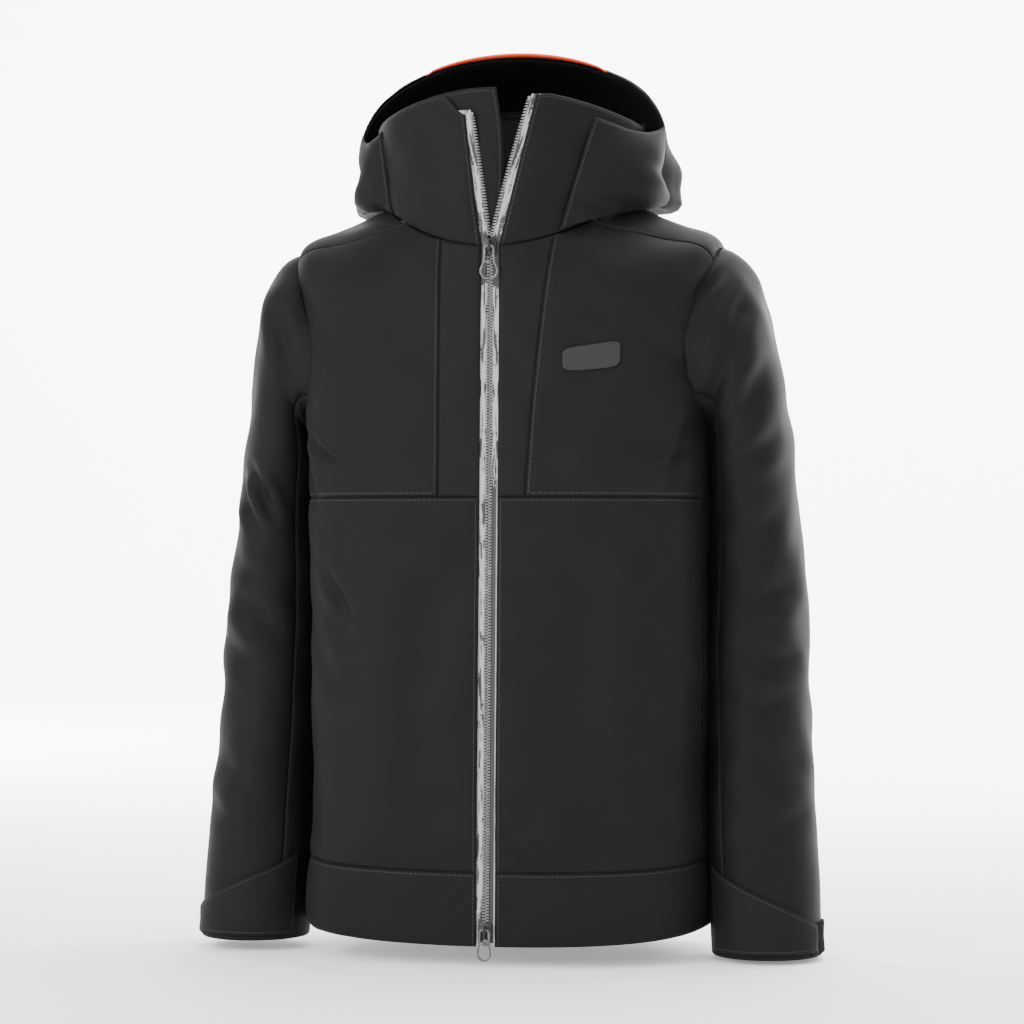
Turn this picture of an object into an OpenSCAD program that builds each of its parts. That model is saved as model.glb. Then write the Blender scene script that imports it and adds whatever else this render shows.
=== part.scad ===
// Ski jacket with a hood, a two-way front zip and cuff tabs.
// X runs to the wearer's left, the front faces -Y, and Z is up.
// The model's origin is the middle of the hang loop inside the back of the neck.

/* [Body] */
// Length of the front from the hem to the neck seam
front_length = 641; // [600:1:700]
// Half of the body's width at the hem
hem_half_w = 191; // [188:1:192]
// Half of the body's width at the waist
waist_half_w = 187; // [180:1:190]
// Half of the body's width across the shoulder tips
shoulder_half_w = 200; // [196:1:204]
// Distance from the middle plane to the front at the hem
hem_front_depth = 129; // [118:1:136]
// Distance from the middle plane to the front at the neck seam
neck_front_depth = 106; // [98:1:112]
// Distance from the middle plane to the back at the waist
back_depth = 110; // [100:1:120]
// Half of the neck seam's width
neck_half_w = 116; // [110:1:122]
// Height of the hem band
hem_band_h = 68; // [50:1:80]

/* [Layers] */
// Thickness of the shell panels
shell_t = 2; // [1.5:0.1:2]
// Thickness of the wadding
wadding_t = 3.4; // [2:0.1:3.4]
// Thickness of the lining
lining_t = 1; // [0.6:0.1:1]

/* [Zips] */
// Half of the gap between the front edges that the zip shows in
zip_half_w = 8.5; // [8:0.1:10]
// Distance between neighbouring teeth
tooth_pitch = 5; // [4:0.5:10]
// Height of the middle of the main slider at rest
slider_z = 640; // [600:1:640]
// Opening of the collar's right zip edge at the top
gape_right = 20; // [10:1:24]
// Opening of the collar's left zip edge at the top
gape_left = 36; // [20:1:40]

/* [Collar and hood] */
// Height of the collar above the neck seam, at the front
collar_h = 151; // [130:1:155]
// Forward or backward place of the hood's rim
hood_rim_y = 13; // [5:1:20]
// Height of the top of the hood's rim
hood_rim_z = 831; // [820:1:840]

/* [Sleeves] */
// Height of the bottom of the cuffs, below the front hem
cuff_z = -8; // [-14:1:0]
// Outermost reach of the cuffs
cuff_reach = 296; // [290:1:300]

/* [Hidden] */

$fn = 32;

fabric = [0.15, 0.15, 0.16];
fabric_light = [0.24, 0.24, 0.25];
lining_colour = [0.07, 0.07, 0.08];
wadding_colour = [0.85, 0.85, 0.82];
tape_colour = [0.62, 0.62, 0.62];
metal = [0.35, 0.35, 0.37];
orange = [0.9, 0.32, 0.08];

// The middle of the hang loop's gap, in the coordinates that the garment is drawn in:
// these have their zero on the middle plane at the height of the front hem.
loop_y = 64;
loop_z = 700;
loop_strap = 8;

// Seams between neighbouring panels, as a gap in degrees round the body and as a part of its height
seam_a = 0.25;
seam_v = 0.002;

// Depths below the outer surface at which each layer starts
bag_depth = 3.4;
bag_t = 1;
wadding_depth = 5.6;
lining_depth = 12;
sleeve_lining_depth = 3.4;

// ---------- curves and sheets ----------

function lerp(a, b, t) = a + (b - a) * t;
function clamp(t) = max(0, min(1, t));

// A Catmull-Rom curve through equally spaced rows
function blend4(a, b, c, d, t) =
    (2 * b + (c - a) * t + (2 * a - 5 * b + 4 * c - d) * t * t + (3 * b - a - 3 * c + d) * t * t * t) / 2;
function spline(rows, s) =
    let (last = len(rows) - 1, x = clamp(s) * last, i = min(floor(x), last - 1))
    blend4(rows[max(i - 1, 0)], rows[i], rows[i + 1], rows[min(i + 2, last)], x - i);

// One skin of a sheet: f(u, v) moved along its normal
function skin(f, nu, nv, offset, e = 0.004) = [
    for (j = [0:nv]) for (i = [0:nu])
        let (u = i / nu, v = j / nv,
            du = f(min(u + e, 1), v) - f(max(u - e, 0), v),
            dv = f(u, min(v + e, 1)) - f(u, max(v - e, 0)),
            n = cross(du, dv))
        f(u, v) + n / norm(n) * offset];

// A closed sheet between two offsets of the surface f(u, v)
module sheet(f, nu, nv, outer, inner) {
    w = nu + 1;
    count = w * (nv + 1);
    points = concat(skin(f, nu, nv, outer), skin(f, nu, nv, inner));
    faces = concat(
        [for (j = [0:nv - 1]) for (i = [0:nu - 1]) let (a = j * w + i)
            each [[a, a + w + 1, a + 1], [a, a + w, a + w + 1]]],
        [for (j = [0:nv - 1]) for (i = [0:nu - 1]) let (a = count + j * w + i)
            each [[a, a + 1, a + w + 1], [a, a + w + 1, a + w]]],
        [for (i = [0:nu - 1]) each [[i, i + 1, count + i], [i + 1, count + i + 1, count + i]]],
        [for (i = [0:nu - 1]) let (a = nv * w + i)
            each [[a, count + a, a + 1], [a + 1, count + a, count + a + 1]]],
        [for (j = [0:nv - 1]) let (a = j * w)
            each [[a, count + a, a + w], [a + w, count + a, count + a + w]]],
        [for (j = [0:nv - 1]) let (a = j * w + nu)
            each [[a, a + w, count + a], [a + w, count + a + w, count + a]]]);
    polyhedron(points, faces, convexity = 6);
}

// Moves what is drawn in garment coordinates so that the hang loop is at the origin
module garment() {
    translate([0, -loop_y, -loop_z]) children();
}

module both_sides() {
    children();
    mirror([1, 0, 0]) children();
}

// ---------- the body's surface ----------

// Each row: half width, squareness, back depth, and the heights at the front, side and back
body_rows = [
    [hem_half_w, 0.06, back_depth + 6, 0, 11, 4],
    [lerp(hem_half_w, waist_half_w, 0.5), 0.06, back_depth + 3, front_length * 0.125, 86, 82],
    [lerp(hem_half_w, waist_half_w, 0.75), 0.06, back_depth + 1, front_length * 0.25, 163, 161],
    [waist_half_w, 0.06, back_depth, front_length * 0.375, 241, 240],
    [waist_half_w, 0.07, back_depth, front_length * 0.5, 320, 320],
    [waist_half_w + 1, 0.08, back_depth, front_length * 0.625, 400, 400],
    [waist_half_w + 3, 0.08, back_depth, front_length * 0.746, 480, 480],
    [shoulder_half_w - 6, 0.08, back_depth - 2, front_length * 0.827, 562, 545],
    [shoulder_half_w + 3, 0.06, back_depth - 6, front_length * 0.897, 643, 605],
    [shoulder_half_w - 35, 0.03, back_depth - 16, front_length * 0.955, 664, 655],
    [neck_half_w, 0, back_depth - 34, front_length, 684, 692]];

function front_depth(z) = lerp(hem_front_depth, neck_front_depth, z / front_length);

// The point at an angle from the front centre (+ towards the wearer's left) and a part of the height
function body_pt(a, v) =
    let (r = spline(body_rows, v),
        k = r[1],
        across = (sin(a) + k * sin(3 * a)) / (1 - k),
        ahead = (cos(a) - k * cos(3 * a)) / (1 - k),
        side = pow(sin(a), 2))
    [r[0] * across,
        ahead > 0 ? -front_depth(r[3]) * ahead : -r[2] * ahead,
        lerp(ahead > 0 ? r[3] : r[5], r[4], side)];

// The angle at which the front is x away from the middle
function angle_at(x, v) =
    let (r = spline(body_rows, v)) asin(x * (1 - r[1]) / (r[0] * (1 + 3 * r[1])));

// Parts of the body's height at its main seams
hem_v = hem_band_h / front_length / 1.25;
chest_v = 0.512;
armpit_v = 0.6;
armhole_v = 0.7;
armhole_half_v = 0.1;
armhole_half_a = 35;
neck_v = 0.994;
yoke_v = 0.745;
// Angles of the side seams, and of the front yoke seam, which runs forward towards the neck
side_a = 76;
function yoke_a(v) = lerp(72, 46, clamp((v - 0.78) / 0.22));

// How far the armhole cuts into the panels at a height, as an angle from the side
function armhole_cut(v) =
    armhole_half_a * sqrt(max(0, 1 - pow((v - armhole_v) / armhole_half_v, 2)));
// The armhole's upper edge at an angle
function armhole_top(a) =
    armhole_v + armhole_half_v * sqrt(max(0, 1 - pow((min(abs(a - 90), abs(a - 270))) / armhole_half_a, 2)));
function front_edge(v, low_a) = min(v < armhole_v ? low_a : yoke_a(v), 90 - armhole_cut(v)) - seam_a;
function back_edge(v, low_a) = max(low_a, 90 + armhole_cut(v)) + seam_a;

// The seam between the placket and the chest panel, as a distance from the middle
function right_seam_x(v) = 48;
function left_seam_x(v) = lerp(34, 58, clamp((v - chest_v) / (1 - chest_v)));

// A panel between two edges given as angles and two heights
function panel(lo, hi, v0, v1) =
    function (u, t) let (v = lerp(v0, v1, t)) body_pt(lerp(lo(v), hi(v), u), v);
module shell_panel(lo, hi, v0, v1, nu, nv) sheet(panel(lo, hi, v0, v1), nu, nv, 0, -shell_t);

// ---------- body panels ----------

module lower_front() {
    color(fabric) garment()
        shell_panel(function (v) angle_at(zip_half_w, v), function (v) side_a - seam_a,
            hem_v + seam_v, chest_v - seam_v, 7, 5);
}
module lower_front_left() lower_front();
module lower_front_right() mirror([1, 0, 0]) lower_front();

module placket(seam_x) {
    color(fabric_light) garment()
        shell_panel(function (v) angle_at(zip_half_w, v), function (v) angle_at(seam_x(v) - 0.4, v),
            chest_v + seam_v, neck_v, 2, 8);
}
module placket_left() placket(function (v) left_seam_x(v));
module placket_right() mirror([1, 0, 0]) placket(function (v) right_seam_x(v));

module chest(seam_x) {
    color(fabric) garment()
        shell_panel(function (v) angle_at(seam_x(v) + 0.4, v), function (v) front_edge(v, side_a),
            chest_v + seam_v, neck_v, 5, 12);
}
module chest_left() chest(function (v) left_seam_x(v));
module chest_right() mirror([1, 0, 0]) chest(function (v) right_seam_x(v));

module side() {
    color(fabric_light) garment()
        shell_panel(function (v) side_a + seam_a, function (v) 180 - side_a - seam_a,
            hem_v + seam_v, armpit_v - 0.004, 3, 6);
}
module side_left() side();
module side_right() mirror([1, 0, 0]) side();

module back() {
    color(fabric) garment()
        shell_panel(function (v) back_edge(v, 180 - side_a), function (v) 360 - back_edge(v, 180 - side_a),
            hem_v + seam_v, yoke_v - seam_v, 14, 9);
}

module yoke() {
    surface_pt = function (u, t)
        let (low_a = lerp(72, 288, u),
            v = lerp(max(yoke_v, armhole_top(low_a) + 0.005), neck_v, t),
            edge_a = yoke_a(v) + seam_a)
        body_pt(lerp(edge_a, 360 - edge_a, u), v);
    color(fabric_light) garment() sheet(surface_pt, 26, 6, 0, -shell_t);
}

module hem_front() {
    color(fabric) garment()
        shell_panel(function (v) angle_at(zip_half_w, v), function (v) 180 - side_a - seam_a,
            0, hem_v - seam_v, 9, 1);
}
module hem_front_left() hem_front();
module hem_front_right() mirror([1, 0, 0]) hem_front();

module hem_back() {
    color(fabric) garment()
        shell_panel(function (v) 180 - side_a + seam_a, function (v) 180 + side_a - seam_a,
            0, hem_v - seam_v, 14, 1);
}

// ---------- inner layers ----------

// Rows of the inner layers: twelve above the hem band, and as many below it as asked for
function inner_v(s, below) =
    let (x = s * (12 + below) - below) x < 0 ? lerp(hem_v, 0.01, -x) : lerp(hem_v, neck_v - 0.01, x / 12);
module inner_layer(lo, hi, depth, t, across, below) {
    surface_pt = function (u, s) let (v = inner_v(s, below)) body_pt(lerp(lo(v), hi(v), u), v);
    garment() sheet(surface_pt, across, 12 + below, -depth, -depth - t);
}
module inner_front(depth, t, from_x, below)
    inner_layer(function (v) angle_at(from_x, v), function (v) front_edge(v, 89), depth, t, 8, below);
module inner_back(depth, t, below)
    inner_layer(function (v) back_edge(v, 90), function (v) 360 - back_edge(v, 90), depth, t, 16, below);

module wadding_fronts() color(wadding_colour) both_sides() inner_front(wadding_depth, wadding_t, 17, 0);
module wadding_back() color(wadding_colour) inner_back(wadding_depth, wadding_t, 0);
module lining_front_left() color(lining_colour) inner_front(lining_depth, lining_t, 26, 1);
module lining_front_right() mirror([1, 0, 0]) lining_front_left();
module lining_back() color(lining_colour) inner_back(lining_depth, lining_t, 1);

// A pocket bag lies between the shell and the wadding
module bag(a0, a1, v0, v1) {
    garment()
        sheet(panel(function (v) a0, function (v) a1, v0, v1), 4, 3, -bag_depth, -bag_depth - bag_t);
}
module hand_pocket_bags() color(lining_colour) both_sides() bag(44, side_a - 2.2, 0.16, 0.37);
module chest_pocket_bag() color(lining_colour) mirror([1, 0, 0]) bag(13.5, 34, 0.54, 0.68);

// ---------- collar ----------

collar_rows = [
    // half width, front depth, back depth, and the heights at the front, side and back
    [neck_half_w + 0.5, neck_front_depth, back_depth - 34, front_length + 1, 686, 694],
    [neck_half_w + 12, neck_front_depth - 2, back_depth - 26, front_length + collar_h, 762, 787]];
function collar_pt(a, s) =
    let (r = lerp(collar_rows[0], collar_rows[1], s))
    [r[0] * sin(a),
        cos(a) > 0 ? -r[1] * cos(a) : -r[2] * cos(a),
        lerp(cos(a) > 0 ? r[3] : r[5], r[4], pow(sin(a), 2))];

collar_foot = 0.015;
function collar_panel(lo, hi, s0, s1) =
    function (u, t) let (s = lerp(s0, s1, t)) collar_pt(lerp(lo(s), hi(s), u), s);
// The collar's front edges lean apart above the slider
function collar_edge(gape, s) =
    asin((zip_half_w + gape * s) / lerp(collar_rows[0][0], collar_rows[1][0], s));

module collar_front(gape) {
    color(fabric) garment()
        sheet(collar_panel(function (s) collar_edge(gape, s), function (s) 88, collar_foot, 1),
            8, 4, 0, -shell_t);
}
module collar_left() collar_front(gape_left);
module collar_right() mirror([1, 0, 0]) collar_front(gape_right);
module collar_back() {
    color(fabric) garment()
        sheet(collar_panel(function (s) 89, function (s) 271, collar_foot, 1), 14, 3, 0, -shell_t);
}
module collar_lining() {
    color(lining_colour) garment()
        sheet(collar_panel(function (s) collar_edge(gape_left, s) + 5,
                function (s) 355 - collar_edge(gape_right, s), collar_foot, 0.97),
            26, 3, -sleeve_lining_depth, -sleeve_lining_depth - lining_t);
}
module chin_guard() {
    color(fabric_light) mirror([1, 0, 0]) garment()
        sheet(collar_panel(function (s) collar_edge(gape_right, s) - 4, function (s) 34, 0.05, 0.97),
            3, 3, -5.6, -6.8);
}
// The fixed foot of the hood stands on the neck seam, outside the collar
module hood_neck_band() {
    color(fabric) garment()
        sheet(collar_panel(function (s) 90, function (s) 270, 0.03, 0.33), 14, 2, 5.2, 4);
}

module hang_loop() {
    radius = 35;
    half_angle = 48;
    color(lining_colour) garment()
        translate([0, loop_y + 28.6, loop_z - loop_strap / 2]) rotate([0, 0, 270 - half_angle])
            rotate_extrude(angle = 2 * half_angle, $fn = 96) translate([radius, 0]) square([1.5, loop_strap]);
}

// ---------- main zip ----------

tape_half_w = 14;
tape_depth = 2.5;
tape_t = 0.8;
tooth_in = 0.9;
tooth_out = 3.2;
tooth_depth = 1.4;
tooth_t = 3;
zip_foot = 4;
slider_l = 16;
slider_top = slider_z + slider_l / 2;
zip_head = front_length + collar_h - 8;
zip_slope = atan((hem_front_depth - neck_front_depth) / front_length);

// The plane of the closed zip: Z along the zip and -Y outwards
module on_zip(z) translate([0, -front_depth(z), z]) rotate([-zip_slope, 0, 0]) children();

// Depth of the front surface at a distance from the middle, on the body and on the collar
function front_y(x, z) =
    z < front_length ? -front_depth(z)
        : -lerp(neck_front_depth, neck_front_depth - 2, (z - front_length) / collar_h)
            * sqrt(1 - pow(x / (neck_half_w + 6), 2));
// Distance of a zip edge from the middle
function zip_x(gape, z) = gape * pow(clamp((z - slider_top - 2) / (zip_head - slider_top - 2)), 1.1);

tape_rows = [zip_foot, 160, 320, 480, slider_top + 2, 668, 690, 712, 736, 760, zip_head];
function tape_z(t) = let (x = t * (len(tape_rows) - 1), i = min(floor(x), len(tape_rows) - 2))
    lerp(tape_rows[i], tape_rows[i + 1], x - i);

module zip_tape(gape) {
    tape_pt = function (u, t)
        let (z = tape_z(t), x = zip_x(gape, z) + lerp(tooth_out + 0.1, tape_half_w, u))
        [x, front_y(x, z) + tape_depth, z];
    color(tape_colour) garment() sheet(tape_pt, 2, len(tape_rows) - 1, 0, -tape_t);
}
module zip_tape_left() zip_tape(gape_left);
module zip_tape_right() mirror([1, 0, 0]) zip_tape(gape_right);

module zip_teeth(gape) {
    count = floor((slider_top - zip_foot - 8) / tooth_pitch);
    spine = 2.2;
    outline = concat(
        [for (i = [0:count - 1]) let (z = 8 + i * tooth_pitch)
            each [[spine, z], [tooth_in, z + 0.4], [tooth_in, z + tooth_pitch / 2 - 0.4],
                [spine, z + tooth_pitch / 2]]],
        [[tooth_out, 8 + (count - 0.5) * tooth_pitch], [tooth_out, 8]]);
    open_pt = function (u, t)
        let (z = lerp(slider_top + 4, zip_head - 4, t), x = zip_x(gape, z) + lerp(tooth_in, tooth_out, u))
        [x, front_y(x, z) + tooth_depth, z];
    color(metal) garment() {
        on_zip(0) translate([0, tooth_depth + tooth_t, 0]) rotate([90, 0, 0])
            linear_extrude(tooth_t) polygon(outline);
        sheet(open_pt, 1, 8, 0, -tooth_t);
        on_zip(0) translate([tooth_in, tooth_depth, 3]) cube([tooth_out - tooth_in, tooth_t, 4]);
    }
}
module zip_teeth_left() zip_teeth(gape_left);
module zip_teeth_right() mirror([1, 0, 0]) zip_teeth(gape_right);

module storm_flap() {
    color(lining_colour) garment() on_zip(0) translate([-15, 7.4, 10]) cube([30, 1.1, front_length - 22]);
}

// ---------- sliders and pullers ----------

bar_r = 0.9;
bar_y = -4;
// A slider in the zip's plane: two plates, the rib between them, and a bridge for the puller
module slider(front = -0.9, rear = 4.9, width = 12, length = slider_l) {
    plate = 1.5;
    half = length / 2;
    outline = [[-width / 2 + 1.5, -half], [width / 2 - 1.5, -half], [width / 2, half - 3],
        [width / 2 - 2, half], [-width / 2 + 2, half], [-width / 2, half - 3]];
    module plate_at(y) translate([0, y + plate, 0]) rotate([90, 0, 0]) linear_extrude(plate) polygon(outline);
    plate_at(front - plate / 2);
    plate_at(rear);
    translate([-0.6, front, -half + 1]) cube([1.2, rear - front + 0.5, length - 2]);
    // bridge
    translate([-1.3, front - 6, -half + 3]) cube([2.6, 1.2, length - 6]);
    for (z = [-half + 3, half - 4.2])
        translate([-1.3, front - 5.5, z]) cube([2.6, 5.5, 1.2]);
}
// A pull loop that hangs from its bar: legs that widen to an open ring
module puller(width, length, thick = 2) {
    half = width / 2;
    wall = 2.2;
    function ring(points) = concat(points, [for (i = [len(points) - 1:-1:0]) [-points[i][0], points[i][1]]]);
    translate([0, thick / 2, 0]) rotate([90, 0, 0]) linear_extrude(thick)
        difference() {
            polygon(ring([[3.9, bar_r], [4.3, -length * 0.35], [half, -length * 0.58],
                [half - 0.6, -length * 0.86], [half - 3.4, -length]]));
            polygon(ring([[1.9, -bar_r], [1.9, -length * 0.3], [half - wall, -length * 0.56],
                [half - wall - 0.6, -length * 0.8], [half - 4.2, -length + wall]]));
        }
}

bottom_slider_z = 14;
module main_slider() color(metal) garment() on_zip(slider_z) slider();
module bottom_slider() color(metal) garment() on_zip(bottom_slider_z) mirror([0, 0, 1]) slider();
module main_puller() color(metal) garment() on_zip(slider_z) translate([0, bar_y, -1]) puller(18, 30);
module bottom_puller() {
    color(metal) garment() on_zip(bottom_slider_z) translate([0, bar_y, 1]) puller(14, 28);
}

// ---------- pocket zips ----------

// A pocket zip is a tape well behind the seam, and its slider runs between the tape and the shell
module pocket_tape(a0, a1, v0, v1) {
    garment() sheet(panel(function (v) a0, function (v) a1, v0, v1), 1, 3, -4.5, -5);
}
hand_v0 = 0.25;
hand_v1 = 0.37;
module hand_pocket_zip_left() color(tape_colour) pocket_tape(side_a - 1.8, side_a + 1.8, hand_v0, hand_v1);
module hand_pocket_zip_right() mirror([1, 0, 0]) hand_pocket_zip_left();
module chest_pocket_zip() color(tape_colour) mirror([1, 0, 0]) pocket_tape(9.2, 12.6, 0.53, 0.78);

// A small slider with its tab, behind the surface at an angle and a height
module pocket_slider(a, v) {
    p = body_pt(a, v);
    edge = body_pt(a + 1, v) - body_pt(a - 1, v);
    color(metal) garment() translate(p) rotate([0, 0, atan2(edge[1], edge[0])]) {
        translate([-2.5, 2.4, -5]) cube([5, 1.3, 10]);
        translate([-1.5, 2.6, -16]) cube([3, 0.9, 12]);
    }
}
module hand_slider_left() pocket_slider(side_a, hand_v1 - 0.006);
module hand_slider_right() mirror([1, 0, 0]) pocket_slider(side_a, hand_v1 - 0.006);
module chest_slider() mirror([1, 0, 0]) pocket_slider(10.9, 0.548);

module chest_patch() {
    color([0.3, 0.3, 0.31]) garment()
        sheet(panel(function (v) 15.4, function (v) 29.5, 0.68, 0.73), 4, 2, 0.8, 0.3);
}

// ---------- sleeves ----------

// Each row: outer point x and z, inner point x and z, half depth, and how far back the middle lies
sleeve_rows = [
    [206, 648, 191.5, 478, 76, 0],
    [225, 633, 193, 472, 77, 2],
    [241, 590, 193.5, 465, 76, 6],
    [254.5, 536, 193.5, 452, 74, 10],
    [262.5, 478, 193, 428, 72, 14],
    [274, 395, 191.5, 384, 69, 20],
    [281, 300, 190, 300, 66, 25],
    [286, 205, 190, 205, 62, 16],
    [290, 125, 191.5, 125, 57, 0],
    [cuff_reach - 2, 58, 194, 58, 54, -11],
    [cuff_reach, cuff_z, 196.5, cuff_z, 52, -20]];

// The armhole's edge on the body: angle 0 is its top and 90 its front
function armhole_pt(a) =
    body_pt(90 - armhole_half_a * sin(a), armhole_v + armhole_half_v * cos(a));
function sleeve_pt(a, s) =
    let (r = spline(sleeve_rows, s),
        ring = [lerp(r[2], r[0], (1 + cos(a)) / 2), r[5] - r[4] * sin(a), lerp(r[3], r[1], (1 + cos(a)) / 2)],
        fit = clamp(1 - s / 0.16))
    lerp(ring, armhole_pt(a) + [2.2, 0, 0], fit * fit * (3 - 2 * fit));
function sleeve_panel(a0, a1, s0, s1) = function (u, t) sleeve_pt(lerp(a0, a1, u), lerp(s0, s1, t));

sleeve_seam_a = 130;
module sleeve_upper_left() {
    color(fabric) garment()
        sheet(sleeve_panel(-sleeve_seam_a, sleeve_seam_a, 0, 1), 18, 16, 0, -shell_t);
}
module sleeve_under_left() {
    color(fabric_light) garment()
        sheet(sleeve_panel(sleeve_seam_a + 0.6, 359.4 - sleeve_seam_a, 0, 1), 7, 14, 0, -shell_t);
}
module sleeve_lining_left() {
    color(lining_colour) garment()
        sheet(sleeve_panel(-178, 178, 0.04, 0.99), 24, 14, -sleeve_lining_depth,
            -sleeve_lining_depth - lining_t);
}
module cuff_tab_left() {
    tab_pt = function (u, t)
        let (a = lerp(146, 24, u), low = lerp(0.875, 0.95, pow(u, 0.9)))
        sleeve_pt(a, lerp(low, 0.996, t));
    // u runs from the sewn edge outwards, so the surface's outer side is its negative side
    color(fabric_light) garment() sheet(tab_pt, 10, 2, -1, -2.4);
}
module cuff_loop_left() {
    color(lining_colour) garment() sheet(sleeve_panel(-12, 34, 0.947, 0.992), 4, 1, 0.7, 0.3);
}
module sleeve_upper_right() mirror([1, 0, 0]) sleeve_upper_left();
module sleeve_under_right() mirror([1, 0, 0]) sleeve_under_left();
module sleeve_lining_right() mirror([1, 0, 0]) sleeve_lining_left();
module cuff_tab_right() mirror([1, 0, 0]) cuff_tab_left();
module cuff_loop_right() mirror([1, 0, 0]) cuff_loop_left();

// ---------- hood ----------

// The hood's middle line from the rim over the crown to the nape, as y and z
hood_line = [[hood_rim_y, hood_rim_z], [55, hood_rim_z - 1], [105, hood_rim_z - 18], [145, hood_rim_z - 48],
    [165, hood_rim_z - 86], [158, hood_rim_z - 123], [128, hood_rim_z - 139], [96, hood_rim_z - 137]];
// From the rim to the nape: how far the sides bulge, and how far their low lobes stand out and droop
hood_form = [[44, 0, 16], [34, 16, 18], [24, 31, 20], [13, 20, 17], [1, 7, 15], [-8, 3, 10], [-3, 1, 5],
    [4, 0, 0]];
function bell(x) = exp(-x * x);
function ease(x) = let (t = clamp(x)) t * t * (3 - 2 * t);

// a runs over the hood from the right seam (-90) to the left (90), m from the rim to the nape
function hood_pt(a, m) =
    let (foot_a = 85 + 80 * m,
        foot = [126 * sin(foot_a), -86 * cos(foot_a), 684 + 8 * m],
        top = spline(hood_line, m),
        form = spline(hood_form, m),
        q = abs(a),
        rise = pow(max(cos(a), 0), 1.1),
        lobe = bell((q - 78) / 13) - bell(12 / 13) * ease((q - 70) / 20),
        droop = bell((q - 84) / 6) - bell(1) * ease((q - 80) / 10))
    [foot[0] * sin(a) + form[0] * sin(2 * a) + sign(a) * form[1] * lobe,
        lerp(foot[1], top[0], rise),
        lerp(foot[2], top[1], rise) - form[2] * droop];
function hood_panel(a0, a1, m0, m1) = function (u, t) hood_pt(lerp(a0, a1, u), lerp(m0, m1, t));

hood_seam_a = 24;
hood_edge_a = 79;
hood_end = 0.78;
module hood_centre() {
    color(fabric) garment()
        sheet(hood_panel(-hood_seam_a + 0.2, hood_seam_a - 0.2, 0, hood_end), 5, 12, 0, -shell_t);
}
module hood_side_left() {
    color(fabric_light) garment()
        sheet(hood_panel(hood_seam_a + 0.2, hood_edge_a, 0, hood_end), 8, 12, 0, -shell_t);
}
module hood_side_right() mirror([1, 0, 0]) hood_side_left();
module hood_lining() {
    color(lining_colour) garment()
        sheet(hood_panel(-hood_edge_a + 1, hood_edge_a - 1, 0.01, hood_end - 0.01), 18, 11, -3.4, -4.4);
}
module hood_piping() {
    piping_pt = function (u, t) hood_pt(lerp(-44, 42, u), 0) + [0, lerp(-2.4, -0.5, t), 0];
    color(orange) garment() sheet(piping_pt, 16, 1, 0.9, -1.6);
}

lower_front_right();
lower_front_left();
placket_right();
placket_left();
chest_right();
chest_left();
side_right();
side_left();
back();
yoke();
hem_front_right();
hem_front_left();
hem_back();
wadding_fronts();
wadding_back();
lining_front_right();
lining_front_left();
lining_back();
collar_right();
collar_left();
collar_back();
collar_lining();
chin_guard();
hood_neck_band();
storm_flap();
zip_tape_right();
zip_tape_left();
zip_teeth_right();
zip_teeth_left();
chest_patch();
chest_pocket_zip();
hand_pocket_zip_right();
hand_pocket_zip_left();
chest_pocket_bag();
hand_pocket_bags();
hang_loop();
main_slider();
main_puller();
bottom_slider();
bottom_puller();
chest_slider();
hand_slider_right();
hand_slider_left();
sleeve_upper_right();
sleeve_under_right();
sleeve_lining_right();
cuff_tab_right();
cuff_loop_right();
sleeve_upper_left();
sleeve_under_left();
sleeve_lining_left();
cuff_tab_left();
cuff_loop_left();
hood_centre();
hood_side_right();
hood_side_left();
hood_lining();
hood_piping();
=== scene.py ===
"""The looks of the ski jacket: cloth panels, linings, zip, sleeves and hood, round the fixed CAD frame.

Garment coordinates are metres with X to the wearer's left, the front at -Y, and Z up from the front hem.
HOME moves them to the frame, whose origin is the hang loop.
"""
import math

import bpy
import numpy as np
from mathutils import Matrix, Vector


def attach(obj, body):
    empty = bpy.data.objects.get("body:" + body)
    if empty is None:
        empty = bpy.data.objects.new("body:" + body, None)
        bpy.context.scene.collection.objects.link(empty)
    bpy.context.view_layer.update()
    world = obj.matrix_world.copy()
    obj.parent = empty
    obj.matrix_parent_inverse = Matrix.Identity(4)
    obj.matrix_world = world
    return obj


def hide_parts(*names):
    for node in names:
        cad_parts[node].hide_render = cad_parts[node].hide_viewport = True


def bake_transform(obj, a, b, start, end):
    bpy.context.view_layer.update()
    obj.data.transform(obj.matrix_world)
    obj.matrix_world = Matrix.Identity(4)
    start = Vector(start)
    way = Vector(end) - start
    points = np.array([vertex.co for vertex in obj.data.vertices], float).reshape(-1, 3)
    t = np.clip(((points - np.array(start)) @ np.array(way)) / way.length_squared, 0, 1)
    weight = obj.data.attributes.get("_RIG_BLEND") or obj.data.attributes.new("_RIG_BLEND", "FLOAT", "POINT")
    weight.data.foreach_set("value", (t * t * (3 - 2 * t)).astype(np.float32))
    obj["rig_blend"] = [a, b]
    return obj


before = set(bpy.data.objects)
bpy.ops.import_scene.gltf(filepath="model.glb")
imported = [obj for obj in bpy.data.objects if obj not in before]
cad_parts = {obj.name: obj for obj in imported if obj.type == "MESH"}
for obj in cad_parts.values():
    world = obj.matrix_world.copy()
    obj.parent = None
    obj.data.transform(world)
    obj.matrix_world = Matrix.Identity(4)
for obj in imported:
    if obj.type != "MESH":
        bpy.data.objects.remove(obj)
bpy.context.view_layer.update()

HOME = np.array([0.0, -0.064, -0.700])
MM = 0.001

# ---------------------------------------------------------------- camera, light and floor


CAMERA_TURN, CAMERA_DISTANCE = 11, 3.0
# The floor strip: its length, the part of it behind the camera's side, its half width, the run to the bend
# and the bend's radius, in metres
STRIP, STRIP_START, STRIP_HALF_W, STRIP_BACK, STRIP_BEND = 15, 5, 14, 3.6, 1.0
HEM_ABOVE_FLOOR = 0.018


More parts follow.
